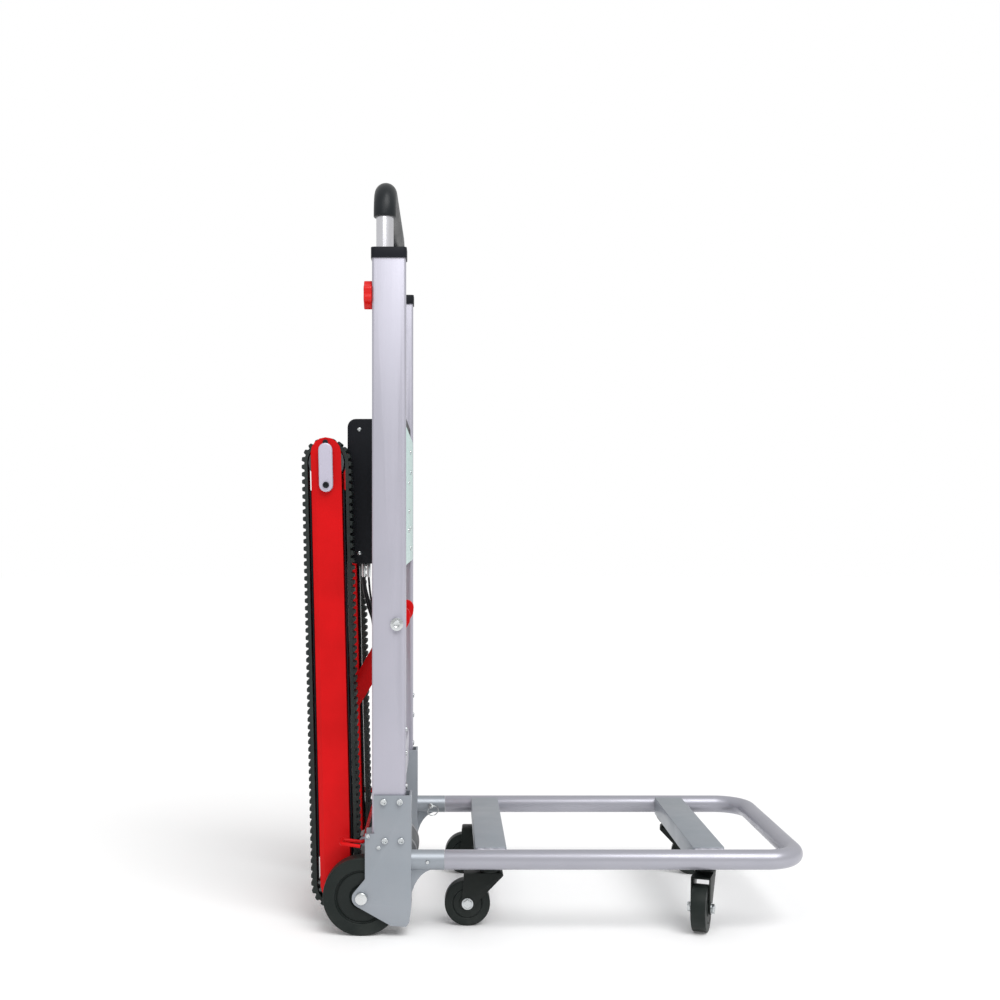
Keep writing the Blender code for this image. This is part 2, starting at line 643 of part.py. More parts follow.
def make_tracks(truck, red, rubber, steel, cover_silver):
    swing = empty("track_swing_axis", truck, (DRIVE_X, 0, DRIVE_Z), TRACK_LEAN)
    belt = stadium(0, TRACK_LENGTH, BELT_BACK + LUG_HEIGHT, 18)
    belt_inside = stadium(0, TRACK_LENGTH, BELT_INNER, 18)
    shaft_hole = circle((0, 0), DRIVE_SHAFT_RADIUS + RUN, 16)
    idler_hole = circle((0, TRACK_LENGTH), IDLER_PIN_RADIUS + RUN, 12)
    slot_half = STRUT_PIN_RADIUS + STRUT_SLOT_CLEARANCE
    slot = stadium(STRUT_PIN_ALONG, STRUT_PIN_OUT, slot_half, 6)
    top = TRACK_LENGTH + TRACK_PLATE_OVER
    plate = stadium(0, top, TRACK_PLATE_RADIUS)
    cover_radius = TENSION_COVER_WIDTH / 2
    cover_top = top + TRACK_PLATE_RADIUS - 9.5 * MM - cover_radius
    cover_low = cover_top - TENSION_COVER_LENGTH + 2 * cover_radius
    for label, side in SIDES.items():
        low, high = across(side, TRACK_OUTSIDE - TRACK_PLATE, TRACK_OUTSIDE)
        place("track_outer_plate_" + label, prism(plate, low, high, "y", [shaft_hole, idler_hole]),
              red, swing)
        low, high = across(side, TRACK_INSIDE, TRACK_INSIDE + TRACK_PLATE)
        place("track_inner_plate_" + label,
              prism(plate, low, high, "y", [shaft_hole, idler_hole, slot]), red, swing)
        low, high = across(side, BELT_INSIDE, BELT_OUTSIDE)
        place("track_belt_" + label, prism(belt, low, high, "y", [belt_inside]), rubber, swing)
        low, high = across(side, TRACK_OUTSIDE + GAP, TRACK_OUTSIDE + GAP + TENSION_COVER_DEPTH)
        cover = prism(stadium(cover_low, cover_top, cover_radius), low, high)
        place("tension_cover_" + label, cover, cover_silver, swing)

        middle = (BELT_INSIDE + BELT_OUTSIDE) / 2
        half = BELT_WIDTH / 2 - MM
        rim = BELT_INNER - GAP
        reach = middle - TRACK_INSIDE
        over = TRACK_OUTSIDE - middle
        pin = IDLER_PIN_RADIUS
        profile = [(pin, -reach), (pin, -half), (rim, -half), (rim, half), (pin, half), (pin, over)]
        profile = [(r, side * d) for r, d in profile]
        at = (0, side * middle, TRACK_LENGTH)
        place("idler_pulley_" + label, rod(profile, at, "y", 16), steel, swing, at)

    tie_half = TRACK_INSIDE - GAP
    tie = rod([(CROSS_TUBE_RADIUS, -tie_half), (CROSS_TUBE_RADIUS, tie_half)], (0, 0, CROSS_TUBE_ALONG))
    place("track_cross_tube", tie, red, swing)


def make_drive(truck, steel, cast, motor_grey):
    at = (DRIVE_X, 0, DRIVE_Z)
    half = TRACK_OUTSIDE + 3 * MM
    place("drive_shaft", rod([(DRIVE_SHAFT_RADIUS, -half), (DRIVE_SHAFT_RADIUS, half)], at, "y", 20),
          steel, truck, at)
    bore = circle((0, 0), DRIVE_SHAFT_RADIUS + GAP, 20)
    outline = []
    for i in range(SPROCKET_TEETH):
        for share, radius in ((0.0, 26 * MM), (0.45, 26 * MM), (0.6, BELT_INNER - GAP),
                              (0.85, BELT_INNER - GAP)):
            turn = 2 * math.pi * (i + share) / SPROCKET_TEETH
            outline.append((radius * math.cos(turn), radius * math.sin(turn)))
    for label, side in SIDES.items():
        low, high = across(side, BELT_INSIDE + MM, BELT_OUTSIDE - MM)
        sprocket = prism(outline, low, high, "y", [bore])
        sprocket.transform(Matrix.Translation(at))
        place("drive_sprocket_" + label, sprocket, steel, truck, at)

    case = hull_of_circles([(DRIVE_X, DRIVE_Z, GEARBOX_RADIUS), (MOTOR_X, MOTOR_Z, GEARBOX_RADIUS)], 28)
    shaft_hole = circle((DRIVE_X, DRIVE_Z), DRIVE_SHAFT_RADIUS + RUN, 20)
    gearbox = prism(case, -GEARBOX_HALF, GEARBOX_HALF, "y", [shaft_hole])
    leg = box((1 * MM, -GEARBOX_HALF + 6 * MM, MOTOR_Z), (LOWER_BAR_DEEP, GEARBOX_HALF - 6 * MM,
                                                         LOWER_BAR_BOTTOM - GAP))
    place("gearbox", join(gearbox, leg), cast, truck)

    near = -GEARBOX_HALF - GAP
    profile = [(30 * MM, near), (MOTOR_RADIUS - 2 * MM, near), (MOTOR_RADIUS, near - 2 * MM),
               (MOTOR_RADIUS, near - MOTOR_LENGTH + MOTOR_CAP + MOTOR_STEP),
               (MOTOR_RADIUS - 5 * MM, near - MOTOR_LENGTH + MOTOR_CAP),
               (MOTOR_RADIUS - 7 * MM, near - MOTOR_LENGTH), (12 * MM, near - MOTOR_LENGTH)]
    place("motor", rod(profile, (MOTOR_X, 0, MOTOR_Z), "y", 28), motor_grey, truck)


def cable_points():
    """The motor lead's route, from the case's floor to the top of the motor."""
    return [Vector((x * MM, -60 * MM, z * MM)) for x, z in
            ((-52, 592), (-52, 560), (-44, 530), (-34, 502), (-28, 440), (-24, 380),
             (-20, 320), (-16, 270), (-14, 225), (-8, 190), (0, 165), (2, 147.6))]


def make_motor_cable(truck, rubber):
    route = cable_points()
    points = []
    padded = [2 * route[0] - route[1], *route, 2 * route[-1] - route[-2]]
    for a, b, c, d in zip(padded, padded[1:], padded[2:], padded[3:]):
        for i in range(2):
            t = i / 2
            points.append(0.5 * (2 * b + (c - a) * t + (2 * a - 5 * b + 4 * c - d) * t ** 2
                                 + (3 * b - a - 3 * c + d) * t ** 3))
    points.append(route[-1])
    curve = bpy.data.curves.new("motor_cable", "CURVE")
    curve.dimensions = "3D"
    curve.bevel_depth = CABLE_RADIUS
    curve.bevel_resolution = 2
    curve.render_resolution_u = 0
    curve.use_fill_caps = True
    spline = curve.splines.new("POLY")
    spline.points.add(len(points) - 1)
    for target, p in zip(spline.points, points):
        target.co = (*p, 1)
    curve.materials.append(rubber)
    cable = bpy.data.objects.new("motor_cable", curve)
    bpy.context.scene.collection.objects.link(cable)
    cable.parent = truck


def make_strut(truck, red, zinc):
    pivot = Vector((STRUT_X, 0, STRUT_Z))
    end = Vector((DRIVE_X - STRUT_PIN_ALONG * math.sin(TRACK_LEAN), 0,
                  DRIVE_Z + STRUT_PIN_ALONG * math.cos(TRACK_LEAN)))
    down = (end - pivot).normalized()
    horn = pivot - down * STRUT_HORN
    outline = hull_of_circles([(horn.x, horn.z, STRUT_HORN_RADIUS), (pivot.x, pivot.z, STRUT_ARM_RADIUS),
                               (end.x, end.z, STRUT_END_RADIUS)], 20)
    bore = circle((pivot.x, pivot.z), STRUT_SHAFT_RADIUS + RUN, 16)
    tie_at = pivot + (end - pivot) * STRUT_TIE_SHARE
    pieces = []
    for side in SIDES.values():
        low, high = across(side, STRUT_INSIDE, STRUT_OUTSIDE)
        arm = prism(outline, low, high, "y", [bore])
        reach = BELT_INSIDE - 0.5 * MM
        pin = rod([(STRUT_PIN_RADIUS, side * (STRUT_INSIDE + 3 * MM)), (STRUT_PIN_RADIUS, side * reach)],
                  (end.x, 0, end.z), "y", 12)
        pieces.append(join(arm, pin))
    tie_half = STRUT_INSIDE + STRUT_ARM_THICK / 2
    tie = rod([(STRUT_TIE_RADIUS, -tie_half), (STRUT_TIE_RADIUS, tie_half)], (tie_at.x, 0, tie_at.z))
    place("strut_frame", join(tie, *pieces), red, truck, pivot)

    outer = UPRIGHT_Y + UPRIGHT_WIDTH / 2 + GAP
    head, tall = STRUT_HEAD_RADIUS, BOLT_HEAD_DEPTH
    profile = [(head, -outer - tall), (head, -outer), (STRUT_SHAFT_RADIUS, -outer),
               (STRUT_SHAFT_RADIUS, outer), (head, outer), (head, outer + tall)]
    place("strut_shaft", rod(profile, pivot, "y", 16), zinc, truck)


def make_pedal(truck, red):
    inner = UPRIGHT_Y - PEDAL_LOOP_WIDTH / 2
    outer = UPRIGHT_Y + PEDAL_LOOP_WIDTH / 2
    tip_x, tip_z = PEDAL_X - PEDAL_REACH, PEDAL_Z + 4 * MM
    corners = [(PEDAL_X - 3 * MM, -outer, PEDAL_Z), (tip_x, -outer, tip_z), (tip_x, -inner, tip_z),
               (PEDAL_X, -inner, PEDAL_Z), (PEDAL_X, inner, PEDAL_Z), (tip_x, inner, tip_z),
               (tip_x, outer, tip_z), (PEDAL_X - 3 * MM, outer, PEDAL_Z)]
    path = rounded_path(corners, PEDAL_BEND / 2, 3)
    pedal = swept(path, [PEDAL_ROD] * len(path), None, 8)
    place("foot_pedal", pedal, red, truck, (PEDAL_X, 0, PEDAL_Z))


# ---------------------------------------------------------------- platform and casters

def make_platform(truck, steel, zinc):
    bore = TUBE_RADIUS - TUBE_WALL
    for label, side in SIDES.items():
        at = (0, side * UPRIGHT_Y, PLATFORM_Z)
        start, stop = -side * (TUBE_RADIUS + GAP + LOCK_PIN_HEAD), side * (TUBE_RADIUS + 2 * MM)
        shoulder = -side * (TUBE_RADIUS + GAP)
        profile = [(LOCK_PIN_HEAD, start), (LOCK_PIN_HEAD, shoulder), (LOCK_PIN_RADIUS, shoulder),
                   (LOCK_PIN_RADIUS, stop)]
        pin_at = (LOCK_PIN_X, at[1], PLATFORM_Z)
        place("lock_pin_" + label, rod(profile, pin_at, "y", 8), zinc, truck, pin_at)

    front = PLATFORM_FRONT - TUBE_RADIUS
    spigot_start = SOCKET_END - SPIGOT_DEPTH
    corners = [(spigot_start, -UPRIGHT_Y, PLATFORM_Z), (front, -UPRIGHT_Y, PLATFORM_Z),
               (front, UPRIGHT_Y, PLATFORM_Z), (spigot_start, UPRIGHT_Y, PLATFORM_Z)]
    path = rounded_path(corners, PLATFORM_BEND)
    spigot = bore - GAP
    step = [Vector((SOCKET_END + GAP, y * UPRIGHT_Y, PLATFORM_Z)) for y in (-1, 1)]
    points = [path[0], step[0], step[0], *path[1:-1], step[1], step[1], path[-1]]
    radii = [spigot, spigot] + [TUBE_RADIUS] * (len(points) - 4) + [spigot, spigot]
    tube = swept(points, radii, None, 14)
    hollow = swept([path[0] - Vector((5 * MM, 0, 0)), *path[1:-1], path[-1] - Vector((5 * MM, 0, 0))],
                   [spigot - TUBE_WALL] * len(path), None, 8)
    pin_bores = [rod([(LOCK_PIN_RADIUS + RUN, -TUBE_RADIUS), (LOCK_PIN_RADIUS + RUN, TUBE_RADIUS)],
                     (LOCK_PIN_X, side * UPRIGHT_Y, PLATFORM_Z), "y", 8) for side in SIDES.values()]
    place("platform_tube", cut(tube, hollow, *pin_bores), steel, truck)

    sheet = CHANNEL_SHEET
    for name, middle in (("rear_channel", REAR_CASTER_X), ("front_channel", FRONT_CASTER_X)):
        low, high = middle - CHANNEL_WIDTH / 2, middle + CHANNEL_WIDTH / 2
        outline = [(low, CHANNEL_BOTTOM), (low + sheet, CHANNEL_BOTTOM), (low + sheet, CHANNEL_TOP - sheet),
                   (high - sheet, CHANNEL_TOP - sheet), (high - sheet, CHANNEL_BOTTOM),
                   (high, CHANNEL_BOTTOM), (high, CHANNEL_TOP), (low, CHANNEL_TOP)]
        place(name, prism(outline, -CHANNEL_HALF, CHANNEL_HALF), steel, truck)


def make_casters(truck, black, rubber):
    plate_top = CHANNEL_BOTTOM - GAP
    plate_low = plate_top - CASTER_PLATE
    crown_top = CASTER_RADIUS * 2 + 12.5 * MM
    race_low = crown_top + GAP
    pin_radius = CASTER_BOLT_RADIUS + 2 * MM
    half = CASTER_PLATE_SIZE / 2
    plate = prism(rounded_rectangle((-half, -half), (half, half), 5 * MM), plate_low, plate_top, "z",
                  [circle((0, 0), pin_radius + RUN, 12)])
    race = turned([(pin_radius + RUN, race_low), (CASTER_RACE_RADIUS - 2 * MM, race_low),
                   (CASTER_RACE_RADIUS, race_low + 3 * MM), (CASTER_RACE_RADIUS - 3 * MM, plate_low + MM),
                   (pin_radius + RUN, plate_low + MM)], (0, 0, 0), "z", 12)
    plate = join(plate, race)

    wall = CASTER_SHEET
    leg = CASTER_WIDTH / 2 + 1.5 * MM
    sides = hull_of_circles([(-CASTER_TRAIL, CASTER_RADIUS, 10 * MM),
                             (CASTER_CROWN_FRONT - 3 * MM, crown_top - 3 * MM, 3 * MM),
                             (-CASTER_CROWN_REAR + 3 * MM, crown_top - 3 * MM, 3 * MM)], 16)
    fork = prism(sides, -leg - wall, leg + wall, "y")
    hollow = box((-CASTER_TRAIL - 20 * MM, -leg, 0), (CASTER_CROWN_FRONT + MM, leg, crown_top - 3 * MM))
    axle = rod([(CASTER_BOLT_RADIUS, -leg - wall / 2), (CASTER_BOLT_RADIUS, leg + wall / 2)],
               (-CASTER_TRAIL, 0, CASTER_RADIUS), "y", 12)
    kingpin = rod([(pin_radius, crown_top - wall / 2), (pin_radius, plate_top)], (0, 0, 0), "z", 12)
    fork = join(cut(fork, hollow), axle, kingpin)

    half = CASTER_WIDTH / 2
    radius, bore = CASTER_RADIUS, CASTER_BOLT_RADIUS + RUN
    profile = [(bore, -half - MM), (10 * MM, -half - MM), (radius - 4 * MM, -half),
               (radius, -half + 6 * MM), (radius, half - 6 * MM), (radius - 4 * MM, half),
               (10 * MM, half + MM), (bore, half + MM)]
    wheel = turned(profile, (0, 0, 0), "y", 20)

    for name, turn in CASTER_TURNS.items():
        row, label = name.split("_")
        x = REAR_CASTER_X if row == "rear" else FRONT_CASTER_X
        at = (x, SIDES[label] * CASTER_Y, 0)
        swivel = empty("caster_swivel_axis_" + name, truck, at)
        place("caster_plate_" + name, plate, black, swivel)
        swivel_turn = math.radians(turn)
        place("caster_fork_" + name, fork, black, swivel, turn=swivel_turn)
        hub = place("caster_wheel_" + name, wheel, rubber, swivel, turn=swivel_turn)
        hub.location = (-CASTER_TRAIL * math.cos(swivel_turn), -CASTER_TRAIL * math.sin(swivel_turn),
                        CASTER_RADIUS)


def make_truck():
    for old in list(bpy.data.objects):
        bpy.data.objects.remove(old)
    silver = finish("upright_silver", (0.62, 0.60, 0.70), 0.35, 0.8)
    steel = finish("bracket_silver", (0.34, 0.40, 0.42), 0.4, 0.6)
    bright = finish("bright_tube", (0.72, 0.72, 0.74), 0.2, 1.0)
    zinc = finish("zinc", (0.55, 0.58, 0.58), 0.3, 1.0)
    machined = finish("machined_steel", (0.4, 0.4, 0.42), 0.35, 1.0)
    cast = finish("cast_alloy", (0.42, 0.46, 0.46), 0.5, 0.6)
    motor_grey = finish("motor_grey", (0.22, 0.23, 0.25), 0.5, 0.3)
    red = finish("track_red", (0.66, 0.012, 0.016), 0.35)
    knob_red = finish("knob_red", (0.70, 0.008, 0.0), 0.3)
    black = finish("black_plastic", (0.012, 0.013, 0.016), 0.45)
    rubber = finish("black_rubber", (0.02, 0.024, 0.024), 0.7)
    hub_grey = finish("hub_plastic", (0.015, 0.02, 0.019), 0.4)
    panel = finish("panel_paint", (0.6, 0.75, 0.74), 0.4)
    cover = finish("cover_silver", (0.6, 0.57, 0.67), 0.35, 0.4)
    pack = finish("pack_wrap", (0.02, 0.08, 0.25), 0.5)
    board = finish("board_green", (0.01, 0.12, 0.05), 0.4)

    truck = empty("truck", None, (-CENTRE_X, 0, 0))
    make_uprights(truck, silver, black)
    make_crossbars(truck, silver)
    make_handle(truck, bright, black, knob_red)
    make_battery_case(truck, panel, black, pack, board, knob_red)
    make_brackets(truck, steel, zinc)
    make_main_wheels(truck, rubber, hub_grey)
    make_tracks(truck, red, rubber, machined, cover)
    make_drive(truck, machined, cast, motor_grey)
    make_motor_cable(truck, rubber)
    make_strut(truck, red, zinc)
    make_pedal(truck, red)
    make_platform(truck, steel, zinc)
    make_casters(truck, black, rubber)


make_truck()
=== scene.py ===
# Stair-climbing hand truck with crawler tracks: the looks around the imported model.
# Lengths are metres. x runs from the tracks to the platform, y across, z up.
import json
import math
import bpy
from mathutils import Matrix, Vector


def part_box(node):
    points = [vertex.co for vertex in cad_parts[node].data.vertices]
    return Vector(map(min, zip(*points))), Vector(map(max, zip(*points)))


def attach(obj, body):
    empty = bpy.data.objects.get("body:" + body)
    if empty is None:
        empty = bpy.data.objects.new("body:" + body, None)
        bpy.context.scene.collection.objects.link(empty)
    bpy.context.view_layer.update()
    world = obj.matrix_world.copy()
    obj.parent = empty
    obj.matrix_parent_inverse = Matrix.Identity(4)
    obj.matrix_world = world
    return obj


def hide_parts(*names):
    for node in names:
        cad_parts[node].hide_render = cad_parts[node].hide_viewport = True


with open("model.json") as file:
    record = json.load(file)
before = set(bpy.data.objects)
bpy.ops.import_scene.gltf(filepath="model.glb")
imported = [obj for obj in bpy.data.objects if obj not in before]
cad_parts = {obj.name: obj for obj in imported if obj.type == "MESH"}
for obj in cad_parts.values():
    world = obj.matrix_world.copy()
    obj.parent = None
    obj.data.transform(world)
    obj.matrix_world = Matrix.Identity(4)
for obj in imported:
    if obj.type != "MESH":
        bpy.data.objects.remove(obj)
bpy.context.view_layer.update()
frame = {"nodes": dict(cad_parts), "record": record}
print("stage: frame loaded")

sides = {"left": -1, "right": 1}
casterNames = ["rear_left", "rear_right", "front_left", "front_right"]
gap = 0.0003             # kept between pieces that touch
mm = 0.001


def addNode(tree, kind, inputs=None, **settings):
    node = tree.nodes.new(kind)
    for key, value in settings.items():
        setattr(node, key, value)
    for key, value in (inputs or {}).items():
        if hasattr(value, "is_output"):
            tree.links.new(value, node.inputs[key])
        else:
            node.inputs[key].default_value = value
    return node


def mathNode(tree, operation, first, second, clamp=False):
    node = addNode(tree, "ShaderNodeMath", {0: first, 1: second}, operation=operation, use_clamp=clamp)
    return node.outputs[0]


def noiseNode(tree, vector, scale, detail, roughness=0.5):
    node = addNode(tree, "ShaderNodeTexNoise", {"Vector": vector, "Scale": scale, "Detail": detail,
                                                "Roughness": roughness})
    return node.outputs["Fac"]


def remap(tree, value, low=0.0, high=1.0, fromLow=0.3, fromHigh=0.7):
    return addNode(tree, "ShaderNodeMapRange", {"Value": value, "From Min": fromLow, "From Max": fromHigh,
                                                "To Min": low, "To Max": high}).outputs[0]


def newGroup(name, takes, gives):        # a node group with a Vector input, and values in and out
    tree = bpy.data.node_groups.new(name, "ShaderNodeTree")
    tree.interface.new_socket(name="Vector", in_out="INPUT", socket_type="NodeSocketVector")
    for label, value in takes.items():
        socket = tree.interface.new_socket(name=label, in_out="INPUT", socket_type="NodeSocketFloat")
        socket.default_value = value
    for label in gives:
        tree.interface.new_socket(name=label, in_out="OUTPUT", socket_type="NodeSocketFloat")
    start = tree.nodes.new("NodeGroupInput")
    end = tree.nodes.new("NodeGroupOutput")
    return tree, start.outputs, end.inputs


def makeWearGroup():     # bare metal or scuffs showing along edges
    tree, takes, gives = newGroup("edgeWear", {"Radius": 0.0015, "Scale": 60.0, "Amount": 0.5}, ["Mask"])
    rounded = addNode(tree, "ShaderNodeBevel", {"Radius": takes["Radius"]}, samples=4)
    flat = addNode(tree, "ShaderNodeNewGeometry")
    same = addNode(tree, "ShaderNodeVectorMath", {0: rounded.outputs[0], 1: flat.outputs["Normal"]},
                   operation="DOT_PRODUCT")
    edge = remap(tree, same.outputs["Value"], fromLow=0.995, fromHigh=0.85)
    spots = noiseNode(tree, takes["Vector"], takes["Scale"], 6.0, 0.7)
    both = mathNode(tree, "MULTIPLY", edge, remap(tree, spots, fromLow=0.46, fromHigh=0.62))
    tree.links.new(mathNode(tree, "MULTIPLY", both, takes["Amount"], True), gives["Mask"])
    return tree


def makeDustGroup():     # dust settles on upward faces and near the floor
    tree, takes, gives = newGroup("settledDust", {"Amount": 0.3, "Floor Reach": 0.25}, ["Mask"])
    normal = addNode(tree, "ShaderNodeNewGeometry")
    up = addNode(tree, "ShaderNodeSeparateXYZ", {0: normal.outputs["Normal"]})
    place = addNode(tree, "ShaderNodeSeparateXYZ", {0: takes["Vector"]})
    top = remap(tree, up.outputs["Z"], 0.0, 0.6, 0.4, 1.0)
    low = remap(tree, place.outputs["Z"], fromLow=takes["Floor Reach"], fromHigh=0.0)
    cloud = noiseNode(tree, takes["Vector"], 22.0, 8.0, 0.65)
    patch = remap(tree, cloud, fromLow=0.38, fromHigh=0.72)
    both = mathNode(tree, "MULTIPLY", mathNode(tree, "ADD", top, low), patch)
    tree.links.new(mathNode(tree, "MULTIPLY", both, takes["Amount"], True), gives["Mask"])
    return tree


def makeGrainGroup():    # fine drawn lines along one axis, and broad cloudiness
    tree, takes, gives = newGroup("drawnGrain", {"Across": 900.0, "Along": 6.0}, ["Lines", "Cloud"])
    across = takes["Across"]
    stretch = addNode(tree, "ShaderNodeCombineXYZ", {"X": across, "Y": across, "Z": takes["Along"]})
    place = addNode(tree, "ShaderNodeVectorMath", {0: takes["Vector"], 1: stretch.outputs[0]},
                    operation="MULTIPLY")
    tree.links.new(noiseNode(tree, place.outputs[0], 1.0, 3.0), gives["Lines"])
    tree.links.new(noiseNode(tree, takes["Vector"], 9.0, 5.0), gives["Cloud"])
    return tree


def makePeelGroup():     # the orange peel of a powder coat or the spark texture of a moulding
    tree, takes, gives = newGroup("orangePeel", {"Scale": 700.0}, ["Height", "Cloud"])
    fine = noiseNode(tree, takes["Vector"], takes["Scale"], 2.0)
    cells = addNode(tree, "ShaderNodeTexVoronoi", {"Vector": takes["Vector"], "Scale": takes["Scale"]},
                    feature="SMOOTH_F1")
    tree.links.new(mathNode(tree, "ADD", fine, cells.outputs["Distance"]), gives["Height"])
    tree.links.new(noiseNode(tree, takes["Vector"], 14.0, 6.0), gives["Cloud"])
    return tree


wearGroup = makeWearGroup()
dustGroup = makeDustGroup()
grainGroup = makeGrainGroup()
peelGroup = makePeelGroup()


def useGroup(tree, group, inputs):
    return addNode(tree, "ShaderNodeGroup", inputs, node_tree=group)


def mixColour(tree, mask, first, second):
    mix = addNode(tree, "ShaderNodeMix", data_type="RGBA")
    tree.links.new(mask, mix.inputs["Factor"])
    for socket, value in ((mix.inputs[6], first), (mix.inputs[7], second)):      # the two colour sockets
        if hasattr(value, "is_output"):
            tree.links.new(value, socket)
        else:
            socket.default_value = (*value, 1.0)
    return mix.outputs[2]


def startMaterial(name):
    material = bpy.data.materials.new(name)
    material.use_nodes = True
    tree = material.node_tree
    where = addNode(tree, "ShaderNodeTexCoord").outputs["Object"]
    return material, tree, tree.nodes["Principled BSDF"], where


def addBump(tree, shader, height, strength, distance):
    bump = addNode(tree, "ShaderNodeBump", {"Height": height, "Strength": strength, "Distance": distance})
    tree.links.new(bump.outputs[0], shader.inputs["Normal"])


lineTurns = {"x": (0, math.pi / 2, 0), "y": (math.pi / 2, 0, 0), "z": (0, 0, 0)}      # z laid along each axis
dustColours = {"metal": (0.42, 0.41, 0.38), "paint": (0.40, 0.39, 0.36), "rubber": (0.20, 0.20, 0.185)}
scuffedRubber = (0.11, 0.12, 0.118)


# bare or anodised metal, with drawn lines along the given axis
def metalFinish(name, colour, second, roughness, metallic=1.0, across=900.0, along=6.0, bump=0.12,
                dust=0.25, wear=0.3, axis="z"):
    material, tree, shader, where = startMaterial(name)
    turned = addNode(tree, "ShaderNodeMapping", {"Vector": where, "Rotation": lineTurns[axis]}).outputs[0]
    grain = useGroup(tree, grainGroup, {"Vector": turned, "Across": across, "Along": along})
    base = mixColour(tree, remap(tree, grain.outputs["Cloud"]), colour, second)
    worn = useGroup(tree, wearGroup, {"Vector": where, "Amount": wear})
    rubbed = tuple(min(1.0, part * 1.25) for part in colour)
    base = mixColour(tree, worn.outputs["Mask"], base, rubbed)
    dusty = useGroup(tree, dustGroup, {"Vector": where, "Amount": dust})
    base = mixColour(tree, dusty.outputs["Mask"], base, dustColours["metal"])
    tree.links.new(base, shader.inputs["Base Color"])
    rough = remap(tree, grain.outputs["Lines"], roughness - 0.06, roughness + 0.08)
    rough = mathNode(tree, "ADD", rough, dusty.outputs["Mask"], True)
    tree.links.new(rough, shader.inputs["Roughness"])
    shader.inputs["Metallic"].default_value = metallic
    addBump(tree, shader, grain.outputs["Lines"], bump, 0.0002)
    return material


# paint, powder coat or moulded plastic, worn through to what is under it
def paintFinish(name, colour, second, roughness, metallic=0.0, peel=700.0, bump=0.1, coat=0.0,
                under=(0.30, 0.30, 0.31), dust=0.3, wear=0.35, gloss=0.5):
    material, tree, shader, where = startMaterial(name)
    skin = useGroup(tree, peelGroup, {"Vector": where, "Scale": peel})
    base = mixColour(tree, remap(tree, skin.outputs["Cloud"]), colour, second)
    worn = useGroup(tree, wearGroup, {"Vector": where, "Amount": wear})
    base = mixColour(tree, worn.outputs["Mask"], base, under)
    dusty = useGroup(tree, dustGroup, {"Vector": where, "Amount": dust})
    base = mixColour(tree, dusty.outputs["Mask"], base, dustColours["paint"])
    tree.links.new(base, shader.inputs["Base Color"])
    rough = remap(tree, skin.outputs["Cloud"], roughness - 0.05, roughness + 0.07)
    rough = mathNode(tree, "ADD", rough, dusty.outputs["Mask"], True)
    tree.links.new(rough, shader.inputs["Roughness"])
    shader.inputs["Metallic"].default_value = metallic
    shader.inputs["Specular IOR Level"].default_value = gloss
    if coat:
        shader.inputs["Coat Weight"].default_value = coat
        shader.inputs["Coat Roughness"].default_value = 0.12
    addBump(tree, shader, skin.outputs["Height"], bump, 0.0002)
    return material


# moulded rubber: fine grain, greyed by scuffing and floor dust
def rubberFinish(name, colour, second, roughness, scuff, scale=260.0, bump=0.25):
    material, tree, shader, where = startMaterial(name)
    skin = useGroup(tree, peelGroup, {"Vector": where, "Scale": scale})
    base = mixColour(tree, remap(tree, skin.outputs["Cloud"]), colour, second)
    worn = useGroup(tree, wearGroup, {"Vector": where, "Amount": scuff, "Radius": 0.0025})
    base = mixColour(tree, worn.outputs["Mask"], base, scuffedRubber)
    dusty = useGroup(tree, dustGroup, {"Vector": where, "Amount": 0.12, "Floor Reach": 0.05})
    base = mixColour(tree, dusty.outputs["Mask"], base, dustColours["rubber"])
    tree.links.new(base, shader.inputs["Base Color"])
    rough = remap(tree, skin.outputs["Cloud"], roughness - 0.06, roughness + 0.1)
    tree.links.new(rough, shader.inputs["Roughness"])
    shader.inputs["Specular IOR Level"].default_value = 0.18
    addBump(tree, shader, skin.outputs["Height"], bump, 0.0003)
    return material


def boardFinish(name):   # green lacquer with a maze of copper tracks under it
    material, tree, shader, where = startMaterial(name)
    flat = addNode(tree, "ShaderNodeMapping", {"Vector": where, "Rotation": lineTurns["x"]}).outputs[0]
    maze = addNode(tree, "ShaderNodeTexBrick", {"Vector": flat, "Scale": 60.0, "Mortar Size": 0.03,
                                                "Brick Width": 0.7, "Row Height": 0.22})
    base = mixColour(tree, maze.outputs["Fac"], (0.008, 0.085, 0.03), (0.06, 0.22, 0.08))
    tree.links.new(base, shader.inputs["Base Color"])
    tree.links.new(remap(tree, maze.outputs["Fac"], 0.38, 0.25, 0, 1), shader.inputs["Roughness"])
    addBump(tree, shader, maze.outputs["Fac"], 0.2, 0.0004)
    return material


def gripFinish(name):    # smooth closed-cell foam rubber
    material, tree, shader, where = startMaterial(name)
    skin = useGroup(tree, peelGroup, {"Vector": where, "Scale": 900.0})
    base = mixColour(tree, remap(tree, skin.outputs["Cloud"]), (0.008, 0.010, 0.012), (0.016, 0.019, 0.021))
    tree.links.new(base, shader.inputs["Base Color"])
    tree.links.new(remap(tree, skin.outputs["Cloud"], 0.24, 0.36), shader.inputs["Roughness"])
    shader.inputs["Specular IOR Level"].default_value = 0.2
    addBump(tree, shader, skin.outputs["Height"], 0.2, 0.0003)
    return material


